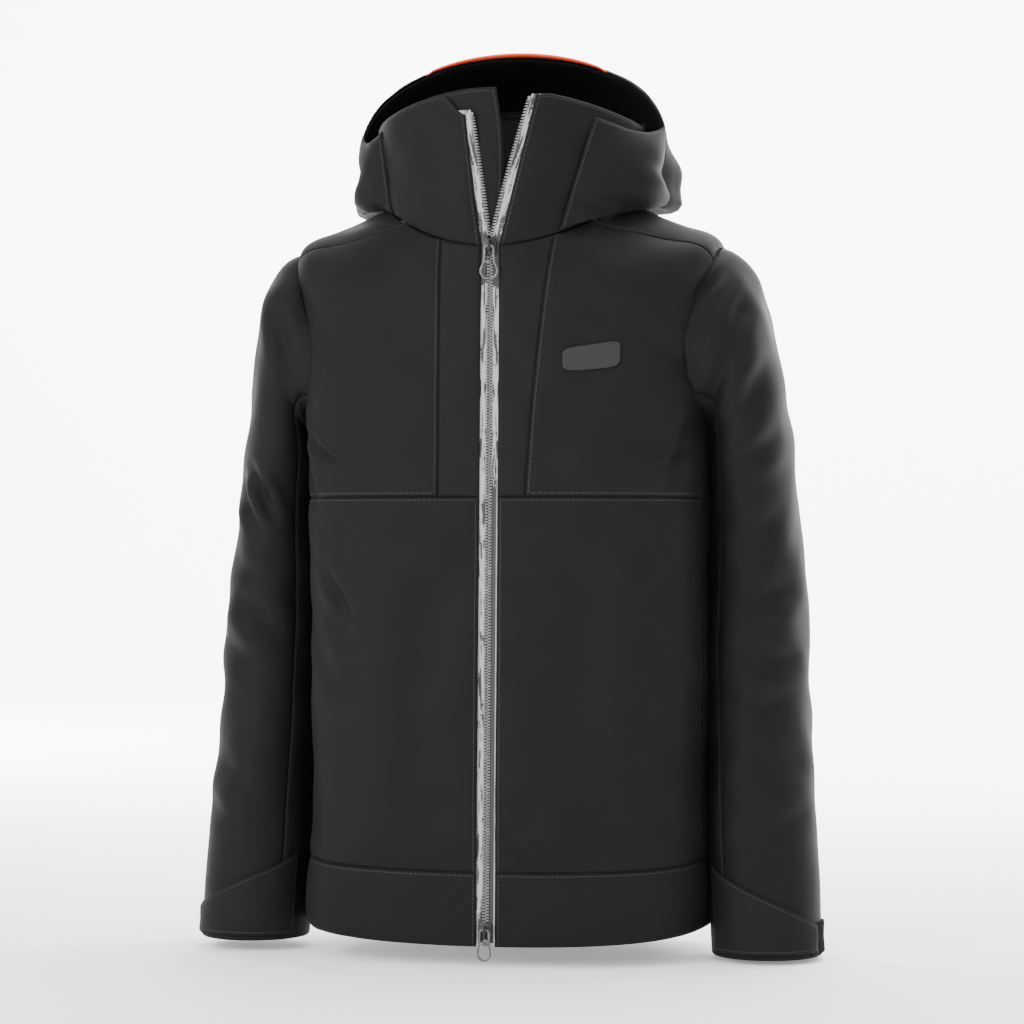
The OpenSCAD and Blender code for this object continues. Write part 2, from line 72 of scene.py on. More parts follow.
def set_stage():
    target = np.array([0.0, 0.0, 0.396]) + HOME
    turn = math.radians(CAMERA_TURN)
    camera_data = bpy.data.cameras.new("camera")
    camera_data.lens = 111
    camera = bpy.data.objects.new("camera", camera_data)
    camera.location = target + CAMERA_DISTANCE * np.array([math.sin(turn), -math.cos(turn), 0])
    camera.rotation_euler = (math.pi / 2, 0, turn)
    bpy.context.collection.objects.link(camera)
    bpy.context.scene.camera = camera

    world = bpy.data.worlds.new("studio")
    world.use_nodes = True
    world.node_tree.nodes["Background"].inputs["Color"].default_value = (1, 1, 1, 1)
    world.node_tree.nodes["Background"].inputs["Strength"].default_value = 1.3
    bpy.context.scene.world = world

    front, wall = (0, -0.06, -0.25), (0, 4.4, 0.2)
    lamp("key", (-1.7, -2.0, 1.1), front, 1.2, 40)
    lamp("crown", (0.45, 0.30, 1.6), (0.05, 0, -0.1), 1.2, 42)
    for side in (-1, 1):
        lamp("backdrop", (side * 2.2, 1.9, 1.0), wall, 1.4, 480)
        lamp("ground", (side * 1.5, -2.6, 0.2), (side * 0.2, -1.1, -0.72), 1.0, 26 - 8 * side)
    floor()


def lamp(name, place, target, size, power):
    data = bpy.data.lights.new(name, "AREA")
    data.size = size
    data.energy = power
    obj = bpy.data.objects.new(name, data)
    obj.location = place
    aim = np.array(target) - np.array(place)
    aim /= np.linalg.norm(aim)
    obj.rotation_euler = (math.acos(-aim[2]), 0, math.atan2(aim[1], aim[0]) - math.pi / 2)
    bpy.context.collection.objects.link(obj)


def floor():
    """A pale floor that curves up into a backdrop."""
    bpy.ops.mesh.primitive_grid_add(x_subdivisions=2, y_subdivisions=110, size=2)
    cove = bpy.context.object
    cove.name = "floor"
    back, radius = STRIP_BACK, STRIP_BEND
    for vertex in cove.data.vertices:
        x, y, _ = vertex.co
        run = (y + 1) / 2 * STRIP - STRIP_START
        bend = min(max((run - back) / radius, 0), math.pi / 2)
        rise = max(run - back - radius * math.pi / 2, 0)
        vertex.co = (x * STRIP_HALF_W, min(run, back) + radius * math.sin(bend),
                     HOME[2] - HEM_ABOVE_FLOOR + radius * (1 - math.cos(bend)) + rise)
    bpy.ops.object.shade_smooth()
    paper = plain("floor", (0.97, 0.97, 0.97), 0.7)
    glow = paper.node_tree.nodes["Principled BSDF"].inputs
    glow["Emission Color"].default_value, glow["Emission Strength"].default_value = (1, 1, 1, 1), 0.25
    cove.data.materials.append(paper)


# ---------------------------------------------------------------- materials


class Wire:
    """A socket that Python operators can be used on. Each operator adds its Math node."""

    def __init__(self, tree, socket):
        self.tree, self.socket = tree, socket

    def node(self, kind, settings=None, **inputs):
        made = self.tree.nodes.new(kind)
        for key, value in (settings or {}).items():
            setattr(made, key, value)
        for key, value in inputs.items():
            name = key.replace("_", " ")
            slot = made.inputs[int(key[1:])] if key[0] == "i" and key[1:].isdigit() else made.inputs[name]
            if isinstance(value, Wire):
                self.tree.links.new(value.socket, slot)
            else:
                slot.default_value = value
        return made

    def wire(self, kind, output, settings=None, **inputs):
        return Wire(self.tree, self.node(kind, settings, **inputs).outputs[output])

    def maths(self, operation, *values):
        return self.wire("ShaderNodeMath", 0, {"operation": operation},
                         **{f"i{n}": value for n, value in enumerate(values)})

    def __add__(self, other): return self.maths("ADD", self, other)
    def __radd__(self, other): return self.maths("ADD", other, self)
    def __sub__(self, other): return self.maths("SUBTRACT", self, other)
    def __rsub__(self, other): return self.maths("SUBTRACT", other, self)
    def __mul__(self, other): return self.maths("MULTIPLY", self, other)
    def __rmul__(self, other): return self.maths("MULTIPLY", other, self)
    def sine(self): return self.maths("SINE", self)
    def size(self): return self.maths("ABSOLUTE", self)

    def noise(self, at, scale, detail, **settings):
        return self.wire("ShaderNodeTexNoise", 0, Vector=at, Scale=scale, Detail=detail, **settings)

    def first_two(self, vector):
        """The first and second number of a vector."""
        split = self.node("ShaderNodeSeparateXYZ", Vector=vector)
        return Wire(self.tree, split.outputs[0]), Wire(self.tree, split.outputs[1])

    def above(self, level, softness=0.02):
        return self.wire("ShaderNodeMapRange", 0, {"interpolation_type": "SMOOTHSTEP"}, i0=self,
                         i1=level - softness, i2=level + softness, i3=0.0, i4=1.0)


def start(name):
    """A new material: (material, its Principled shader, a Wire to make nodes with)."""
    material = bpy.data.materials.new(name)
    material.use_nodes = True
    tree = material.node_tree
    return material, tree.nodes["Principled BSDF"], Wire(tree, None)


def feed(shader, name, wire):
    wire.tree.links.new(wire.socket, shader.inputs[name])


def emboss(shader, height, strength, distance):
    bump = height.wire("ShaderNodeBump", 0, Strength=strength, Distance=distance, Height=height)
    feed(shader, "Normal", bump)


def mixed(w, factor, dark, light):
    dark, light = (c if isinstance(c, Wire) else (*c, 1) for c in (dark, light))
    return w.wire("ShaderNodeMix", 2, {"data_type": "RGBA"}, i0=factor, i6=dark, i7=light)


def plain(name, colour, roughness):
    material, shader, w = start(name)
    at = w.wire("ShaderNodeTexCoord", "Object")
    speck = w.noise(at, 3.0, 2.0)
    feed(shader, "Base Color", mixed(w, speck, [c * 0.985 for c in colour], colour))
    shader.inputs["Roughness"].default_value = roughness
    return material


def cloth(name, colour, roughness=0.62, thread=0.55, relief=0.12, mottle=0.12, sheen=0.05, slub=0.5):
    """Plain woven cloth on the piece's own UV map, in metres: threads, slubs, slow tone and stitches, with
    painted shade darkening the colour in the grooves the stitches pull.
    """
    material, shader, w = start(name)
    uv = w.wire("ShaderNodeTexCoord", "UV")
    at = w.wire("ShaderNodeTexCoord", "Object")
    across, along = w.first_two(uv)
    sides, ends = w.first_two(w.wire("ShaderNodeUVMap", 0, {"uv_map": "seams"}))
    stitch, groove_and_shade = stitching(sides, ends, along)
    stitch_too, groove_and_shade_too = stitching(ends, sides, across)
    stitch, groove_and_shade = stitch + stitch_too, groove_and_shade + groove_and_shade_too
    step = 2 * math.pi / (thread * MM)
    warp = (across * step).sine()
    weft = (along * step).sine()
    weave = warp * weft * 0.5 + 0.5
    fibre = w.noise(at, 900.0, 3.0, Roughness=0.7)
    tone = w.noise(at, 14.0, 5.0, Roughness=0.6)
    # painted shade: the stitch grooves darken the cloth's colour as well as denting its bump
    shade = tone * mottle + fibre * mottle * slub + weave * mottle * 0.6 - groove_and_shade * 0.1
    woven = mixed(w, shade, [c * 0.8 for c in colour], [min(c * 2.6, 1) for c in colour])
    feed(shader, "Base Color", mixed(w, stitch, woven, [0.8 * c + 0.032 for c in colour]))
    feed(shader, "Roughness", tone * 0.14 + fibre * 0.06 + (roughness - 0.1))
    emboss(shader, weave + fibre * 0.6 + stitch * 3.0 - groove_and_shade * 4.0, relief, 0.0004)
    shader.inputs["Sheen Weight"].default_value = sheen
    shader.inputs["Sheen Roughness"].default_value = 0.45
    shader.inputs["Specular IOR Level"].default_value = 0.09
    return material


def stitching(away, other, run, inset=0.0032, gauge=0.00032, pitch=0.0034):
    """A row of stitches at the inset from an edge: (the thread, the shallow dent it pulls). cloth() sinks the
    bump along the dent and also darkens its colour there as painted shade.
    """
    off = (away - inset).size()
    inside = other.above(inset - 0.0004, 0.0002)
    dash = (run * (2 * math.pi / pitch)).sine().above(-0.5, 0.25)
    return ((1 - off.above(gauge, 0.00012)) * dash * inside, (1 - off.above(0.0008, 0.0007)) * inside)


def printed_tape(name, black_below, outer_line):
    """Zip tape with a fine rib, printed light grey with brushed black strokes, and black low down, with a
    painted shadow where the main slider sits.
    """
    material, shader, w = start(name)
    uv = w.wire("ShaderNodeTexCoord", "UV")
    at = w.wire("ShaderNodeTexCoord", "Object")
    squeezed = w.wire("ShaderNodeMapping", 0, Vector=uv, Scale=(330.0, 34.0, 1.0), Rotation=(0, 0, 0.12))
    stroke = w.noise(squeezed, 1.0, 4.0, Roughness=0.62, Distortion=0.6)
    broken = w.noise(at, 420.0, 3.0, Roughness=0.7)
    across, along = w.first_two(uv)
    low = 1 - along.above(black_below, 0.035)
    # painted shadow: the ink darkens in a band round the main slider's height, as the slider's shadow on the
    # tape
    painted_slider_shadow = along.above(0.605, 0.004) * (1 - along.above(0.648, 0.006))
    blot = (stroke + broken * 0.22 + low * 0.30 + painted_slider_shadow * 0.4).above(0.655, 0.03)
    ink = blot * (1 - (across.above(outer_line, 0.0003) * low))
    rib = ((along + across * 0.8) * (2 * math.pi / 0.0012)).sine() * 0.5 + 0.5
    ink = ink * 0.93 + rib * 0.05
    feed(shader, "Base Color", mixed(w, ink, (0.34, 0.34, 0.345), (0.006, 0.006, 0.007)))
    feed(shader, "Roughness", broken * 0.2 + 0.5)
    emboss(shader, rib, 0.35, 0.0003)
    return material


def metal(name, colour, roughness=0.38, metallic=0.75):
    material, shader, w = start(name)
    at = w.wire("ShaderNodeTexCoord", "Object")
    grain = w.noise(at, 600.0, 4.0, Roughness=0.6)
    wear = w.noise(at, 120.0, 3.0)
    rub = wear.above(0.62, 0.06)
    feed(shader, "Base Color", mixed(w, rub * 0.5 + grain * 0.2, colour, [min(c * 2.4, 1) for c in colour]))
    feed(shader, "Roughness", grain * 0.18 + (roughness - 0.09))
    emboss(shader, grain, 0.08, 0.0002)
    shader.inputs["Metallic"].default_value = metallic
    return material


def pile(name, colour):
    """Looped pile of a touch fastener, or fluffy wadding."""
    material, shader, w = start(name)
    at = w.wire("ShaderNodeTexCoord", "Object")
    loops = w.wire("ShaderNodeTexVoronoi", "Distance", Vector=at, Scale=1100.0)
    fluff = w.noise(at, 300.0, 5.0, Roughness=0.75)
    dark, light = [c * 0.6 for c in colour], [min(c * 1.7, 1) for c in colour]
    feed(shader, "Base Color", mixed(w, loops + fluff * 0.4, dark, light))
    emboss(shader, fluff + loops, 0.7, 0.0008)
    shader.inputs["Roughness"].default_value = 0.95
    shader.inputs["Specular IOR Level"].default_value = 0.05
    return material


SHELL = (0.0060, 0.0060, 0.0065)
MATERIALS = {
    "shell": cloth("shell_cloth", SHELL, sheen=0.01),
    "shell_soft": cloth("shell_cloth_soft", (0.0066, 0.0066, 0.0071), thread=0.6, sheen=0.01),
    "lining": cloth("lining_cloth", (0.0050, 0.0050, 0.0054), thread=0.35, relief=0.06, sheen=0.01),
    "tape_right": printed_tape("zip_tape_print_right", 0.02, 0.0048),
    "tape_left": printed_tape("zip_tape_print_left", 0.42, 0.0048),
    "pocket_tape": cloth("pocket_tape_cloth", (0.014, 0.014, 0.015), thread=0.5, relief=0.2),
    "teeth": metal("zip_teeth_finish", (0.15, 0.15, 0.153), 0.45, 0.2),
    "metal": metal("puller_finish", (0.085, 0.085, 0.087)),
    "dark_metal": metal("slider_finish", (0.022, 0.022, 0.023)),
    "piping": cloth("piping_cloth", (0.95, 0.050, 0.006), thread=0.5, mottle=0.1, sheen=0.0),
    "patch": cloth("patch_cloth", (0.024, 0.024, 0.026), thread=0.4, relief=0.05, sheen=0.0),
    "pile": pile("loop_pile", (0.0045, 0.0045, 0.005)),
    "wadding": pile("wadding_fluff", (0.62, 0.62, 0.60)),
}

# ---------------------------------------------------------------- the garment's surfaces


def lerp(a, b, t):
    return a + (b - a) * t


def smooth(t):
    t = np.clip(t, 0, 1)
    return t * t * (3 - 2 * t)


def spline(rows, s):
    """A Catmull-Rom curve through equally spaced rows, at each of s. Returns one array per column."""
    rows = np.asarray(rows, float)
    last = len(rows) - 1
    x = np.clip(s, 0, 1) * last
    i = np.minimum(np.floor(x).astype(int), last - 1)
    t = (x - i)[..., None]
    a, b = rows[np.maximum(i - 1, 0)], rows[i]
    c, d = rows[i + 1], rows[np.minimum(i + 2, last)]
    out = (2 * b + (c - a) * t + (2 * a - 5 * b + 4 * c - d) * t * t + (3 * b - a - 3 * c + d) * t ** 3) / 2
    return [out[..., k] for k in range(rows.shape[1])]


def sin_d(a):
    return np.sin(np.radians(a))


def cos_d(a):
    return np.cos(np.radians(a))


FRONT_LENGTH = 0.641
BODY_ROWS = [
    # half width, squareness, back depth, and the heights at the front, side and back
    (0.1910, 0.06, 0.116, 0.0000, 0.011, 0.004),
    (0.1890, 0.06, 0.113, 0.0801, 0.086, 0.082),
    (0.1880, 0.06, 0.111, 0.1603, 0.163, 0.161),
    (0.1870, 0.06, 0.110, 0.2404, 0.241, 0.240),
    (0.1870, 0.07, 0.110, 0.3205, 0.320, 0.320),
    (0.1880, 0.08, 0.110, 0.4006, 0.400, 0.400),
    (0.1900, 0.08, 0.110, 0.4782, 0.480, 0.480),
    (0.1940, 0.08, 0.108, 0.5301, 0.562, 0.545),
    (0.2030, 0.06, 0.104, 0.5750, 0.643, 0.605),
    (0.1650, 0.03, 0.094, 0.6122, 0.664, 0.655),
    (0.1160, 0.00, 0.076, 0.6410, 0.684, 0.692)]
HEM_V, CHEST_V, ARMPIT_V, ARMHOLE_V, NECK_V, YOKE_V = 0.085, 0.512, 0.6, 0.7, 1.0, 0.745
ARMHOLE_HALF_V, ARMHOLE_HALF_A = 0.1, 35
SIDE_A = 76
ZIP_HALF_W = 0.0085


def front_depth(z):
    return lerp(0.129, 0.106, z / FRONT_LENGTH)


def body_pt(a, v):
    half, k, back, z_front, z_side, z_back = spline(BODY_ROWS, v)
    across = (sin_d(a) + k * sin_d(3 * a)) / (1 - k)
    ahead = (cos_d(a) - k * cos_d(3 * a)) / (1 - k)
    y = np.where(ahead > 0, -front_depth(z_front) * ahead, -back * ahead)
    z = lerp(np.where(ahead > 0, z_front, z_back), z_side, sin_d(a) ** 2)
    return np.stack([half * across, y, z], -1)


def angle_at(x, v):
    half, k = spline(BODY_ROWS, v)[:2]
    return np.degrees(np.arcsin(x * (1 - k) / (half * (1 + 3 * k))))


def armhole_cut(v):
    return ARMHOLE_HALF_A * np.sqrt(np.maximum(0, 1 - ((v - ARMHOLE_V) / ARMHOLE_HALF_V) ** 2))


def armhole_top(a):
    away = np.minimum(np.abs(a - 90), np.abs(a - 270)) / ARMHOLE_HALF_A
    return ARMHOLE_V + ARMHOLE_HALF_V * np.sqrt(np.maximum(0, 1 - away ** 2))


def yoke_a(v):
    """The front yoke seam, which runs forward towards the neck."""
    return lerp(72, 46, np.clip((v - 0.78) / 0.22, 0, 1))


def front_edge(v, low_a):
    return np.minimum(np.where(v < ARMHOLE_V, low_a, yoke_a(v)), 90 - armhole_cut(v))


def back_edge(v, low_a):
    return np.maximum(low_a, 90 + armhole_cut(v))


def right_seam(v):
    return angle_at(0.048, v)


def left_seam(v):
    return angle_at(lerp(0.034, 0.058, np.clip((v - CHEST_V) / (1 - CHEST_V), 0, 1)), v)


COLLAR_FOOT = (0.1160, 0.106, 0.076, 0.641, 0.684, 0.692)
COLLAR_TOP = (0.1280, 0.104, 0.084, 0.792, 0.762, 0.787)
GAPE = {"right": 0.020, "left": 0.036}


def collar_pt(a, s):
    half, front, back, z_front, z_side, z_back = (lerp(p, q, s) for p, q in zip(COLLAR_FOOT, COLLAR_TOP))
    y = np.where(cos_d(a) > 0, -front * cos_d(a), -back * cos_d(a))
    z = lerp(np.where(cos_d(a) > 0, z_front, z_back), z_side, sin_d(a) ** 2)
    return np.stack([half * sin_d(a), y, z], -1)


def collar_edge(side, s):
    return np.degrees(np.arcsin((ZIP_HALF_W + GAPE[side] * s) / lerp(COLLAR_FOOT[0], COLLAR_TOP[0], s)))


SLEEVE_ROWS = [
    # outer point x and z, inner point x and z, half depth, and how far back the middle lies
    (0.206, 0.648, 0.1915, 0.478, 0.076, 0.000),
    (0.225, 0.633, 0.1930, 0.472, 0.077, 0.002),
    (0.241, 0.590, 0.1935, 0.465, 0.076, 0.006),
    (0.2545, 0.536, 0.1935, 0.452, 0.074, 0.010),
    (0.2625, 0.478, 0.1930, 0.428, 0.072, 0.014),
    (0.274, 0.395, 0.1915, 0.384, 0.069, 0.020),
    (0.281, 0.300, 0.1900, 0.300, 0.066, 0.025),
    (0.286, 0.205, 0.1900, 0.205, 0.062, 0.016),
    (0.290, 0.125, 0.1915, 0.125, 0.057, 0.000),
    (0.294, 0.058, 0.1940, 0.058, 0.054, -0.011),
    (0.296, -0.008, 0.1965, -0.008, 0.052, -0.020)]


def sleeve_lean(side, s):
    """How far each sleeve hangs in towards the body."""
    depth, at, width = {"left": (0.0045, 0.68, 0.24), "right": (0.0075, 0.36, 0.14)}[side]
    return depth * bell((s - at) / width)


def sleeve_pt(a, s):
    out_x, out_z, in_x, in_z, deep, back = spline(SLEEVE_ROWS, s)
    outward = (1 + cos_d(a)) / 2
    ring = np.stack([lerp(in_x, out_x, outward), back - deep * sin_d(a), lerp(in_z, out_z, outward)], -1)
    armhole = body_pt(90 - ARMHOLE_HALF_A * sin_d(a), ARMHOLE_V + ARMHOLE_HALF_V * cos_d(a))
    return lerp(ring, armhole, smooth(1 - s / 0.16)[..., None])


HOOD_LINE = [(0.013, 0.831), (0.055, 0.830), (0.105, 0.813), (0.145, 0.783),
             (0.165, 0.745), (0.158, 0.708), (0.128, 0.692), (0.096, 0.694)]
HOOD_FORM = [
    # from the rim to the nape: how far the sides bulge, and how far their low lobes stand out and droop
    (0.044, 0.000, 0.016), (0.034, 0.016, 0.018), (0.024, 0.031, 0.020), (0.013, 0.020, 0.017),
    (0.001, 0.007, 0.015), (-0.008, 0.003, 0.010), (-0.003, 0.001, 0.005), (0.004, 0.000, 0.000)]
HOOD_SEAM_A = 24


def bell(x):
    return np.exp(-x * x)


def hood_pt(a, m):
    foot_a = 85 + 80 * m
    top_y, top_z = spline(HOOD_LINE, m)
    bulge, lobe, droop = spline(HOOD_FORM, m)
    rise = np.maximum(cos_d(a), 0) ** 1.1
    q = np.abs(a)
    lobe = lobe * (bell((q - 78) / 13) - bell(12 / 13) * smooth((q - 70) / 20))
    droop = droop * (bell((q - 84) / 6) - bell(1) * smooth((q - 80) / 10))
    x = 0.126 * sin_d(foot_a) * sin_d(a) + bulge * sin_d(2 * a) + np.sign(a) * lobe
    z = lerp(0.684 + 0.008 * m, top_z, rise) - droop
    full = bell((z - 0.684) / 0.013) * smooth((np.abs(x) - 0.115) / 0.02) * (1 - smooth((m - 0.4) / 0.2))
    return np.stack([x + np.sign(a) * 0.011 * full, lerp(-0.086 * cos_d(foot_a), top_y, rise), z], -1)


# ---------------------------------------------------------------- folds in the cloth

rng = np.random.RandomState(11)


def waves(count, wavelength, spread=0.35):
    """Plane waves in random directions, for slow undulation."""
    way = rng.normal(size=(count, 3))
    way /= np.linalg.norm(way, axis=1)[:, None]
    return way * (2 * math.pi / (wavelength * rng.uniform(1 - spread, 1 + spread, count)))[:, None], \
        rng.uniform(0, 2 * math.pi, count)


SLOW, MEDIUM, FINE = waves(9, 0.17), waves(12, 0.062), waves(14, 0.020)


def undulation(p, band):
    ways, phases = band
    return np.sin(p @ ways.T + phases).sum(-1) / math.sqrt(len(phases))


# Each crease: start x and z, end x and z, half width and depth. They lie on the front, seen from ahead.
CREASES = [
    # armpits
    (-0.190, 0.505, -0.172, 0.405, 0.0045, 0.0040), (-0.176, 0.470, -0.150, 0.440, 0.0035, 0.0025),
    (-0.160, 0.452, -0.143, 0.442, 0.0030, 0.0025), (0.186, 0.500, 0.166, 0.418, 0.0050, 0.0032),
    (0.176, 0.455, 0.150, 0.430, 0.0040, 0.0020),
    # wearer's right flank
    (-0.160, 0.345, -0.134, 0.300, 0.0050, 0.0030), (-0.176, 0.300, -0.150, 0.235, 0.0080, 0.0020),
    # hem, beside the zip
    (0.010, 0.118, 0.044, 0.070, 0.0045, 0.0022), (0.026, 0.105, 0.060, 0.086, 0.0040, 0.0014),
    (0.012, 0.040, 0.030, 0.020, 0.0035, 0.0018), (-0.014, 0.050, -0.034, 0.030, 0.0040, 0.0014),
    # wearer's left shoulder
    (0.205, 0.617, 0.186, 0.592, 0.0050, 0.0030), (0.232, 0.600, 0.214, 0.548, 0.0070, 0.0034),
    (0.222, 0.554, 0.193, 0.486, 0.0080, 0.0036), (0.250, 0.540, 0.222, 0.470, 0.0090, 0.0030),
    (0.262, 0.470, 0.212, 0.430, 0.0090, 0.0028),
    # wearer's right sleeve
    (-0.243, 0.438, -0.222, 0.392, 0.0060, 0.0042), (-0.262, 0.430, -0.236, 0.376, 0.0060, 0.0036),
    (-0.215, 0.590, -0.196, 0.530, 0.0080, 0.0030), (-0.262, 0.320, -0.222, 0.286, 0.0100, 0.0034),
    (-0.276, 0.270, -0.232, 0.246, 0.0100, 0.0026),
    # wearer's left sleeve, and the right one at the same height as its last fold
    (0.270, 0.330, 0.216, 0.300, 0.0100, 0.0034), (0.276, 0.262, 0.226, 0.250, 0.0110, 0.0028),
    (0.266, 0.400, 0.214, 0.352, 0.0100, 0.0028), (0.282, 0.170, 0.240, 0.150, 0.0120, 0.0022),
    (-0.284, 0.160, -0.240, 0.136, 0.0120, 0.0022),
    # shoulders and chest
    (-0.196, 0.610, -0.150, 0.560, 0.0110, 0.0018), (0.150, 0.560, 0.186, 0.520, 0.0110, 0.0018),
    (0.120, 0.470, 0.166, 0.452, 0.0110, 0.0014),
    # long soft hangs down the body
    (-0.150, 0.420, -0.128, 0.120, 0.0200, 0.0022), (0.150, 0.400, 0.160, 0.110, 0.0180, 0.0026),
    (0.096, 0.330, 0.088, 0.080, 0.0240, 0.0016), (-0.070, 0.330, -0.060, 0.080, 0.0240, 0.0012),
    # forearms
    (-0.272, 0.352, -0.232, 0.330, 0.0090, 0.0020), (0.262, 0.224, 0.222, 0.206, 0.0100, 0.0022),
    (0.286, 0.120, 0.250, 0.098, 0.0090, 0.0016), (-0.288, 0.118, -0.262, 0.104, 0.0090, 0.0016)]


CREASE_GAIN = 1.3


def crease_depth(p, normal):
    """How far the creases push the cloth in at points p: a valley with a soft ridge on each side."""
    facing = smooth((-normal[..., 1] - 0.05) / 0.5)
    total = np.zeros(p.shape[:-1])
    flat = p[..., [0, 2]]
    for x0, z0, x1, z1, width, depth in CREASES:
        start_pt, way = np.array([x0, z0]), np.array([x1 - x0, z1 - z0])
        t = ((flat - start_pt) @ way) / (way @ way)
        near = np.clip(t, 0, 1)
        away = np.linalg.norm(flat - start_pt - near[..., None] * way, axis=-1)
        taper = np.sin(math.pi * np.clip(near, 0.04, 0.96)) ** 0.6
        ridge = bell((away - 1.9 * width) / (1.1 * width))
        total += CREASE_GAIN * depth * taper * (0.55 * ridge - bell(away / width))
    return total * facing


# ---------------------------------------------------------------- making cloth pieces


def clear_selection():
    if bpy.context.object and bpy.context.object.mode != "OBJECT":
        bpy.ops.object.mode_set(mode="OBJECT")
    bpy.ops.object.select_all(action="DESELECT")


def pick(obj):
    clear_selection()
    obj.select_set(True)
    bpy.context.view_layer.objects.active = obj


def edit_all(obj, *changes):
    """Makes each change to the whole mesh in edit mode."""
    pick(obj)
    bpy.ops.object.mode_set(mode="EDIT")
    for change in changes:
        bpy.ops.mesh.select_all(action="SELECT")
        change()
    bpy.ops.object.mode_set(mode="OBJECT")


def apply_modifiers(obj):
    pick(obj)
    for modifier in list(obj.modifiers):
        bpy.ops.object.modifier_apply(modifier=modifier.name)


def spaced(length, step, lip):
    """Grid lines along an edge-to-edge run, as parts of 0 to 1, closer together beside both edges."""
    if lip <= 0:
        return np.linspace(0, 1, max(int(math.ceil(length / step)), 2) + 1)
    close = np.array([0, 0.35, 0.8, 1.5, 2.6]) * lip
    inner = np.linspace(close[-1], length - close[-1], max(int(math.ceil(length / step)), 2) + 1)
    return np.concatenate([close[:-1], inner, length - close[:-1][::-1]]) / length


def spans(f, u, v, e):
    """The steps across and along the surface round each point, and the parts of u and v that they take."""
    u0, u1, v0, v1 = np.maximum(u - e, 0), np.minimum(u + e, 1), np.maximum(v - e, 0), np.minimum(v + e, 1)
    return f(u1, v) - f(u0, v), f(u, v1) - f(u, v0), u1 - u0, v1 - v0


def normals_of(f, u, v):
    n = np.cross(*spans(f, u, v, 0.003)[:2])
    return n / np.maximum(np.linalg.norm(n, axis=-1), 1e-12)[..., None]


# A cloth piece with no turned-in edges, no puff and no creases
FLAT = dict(lip=0, rolls="", puff=0, creased=False)


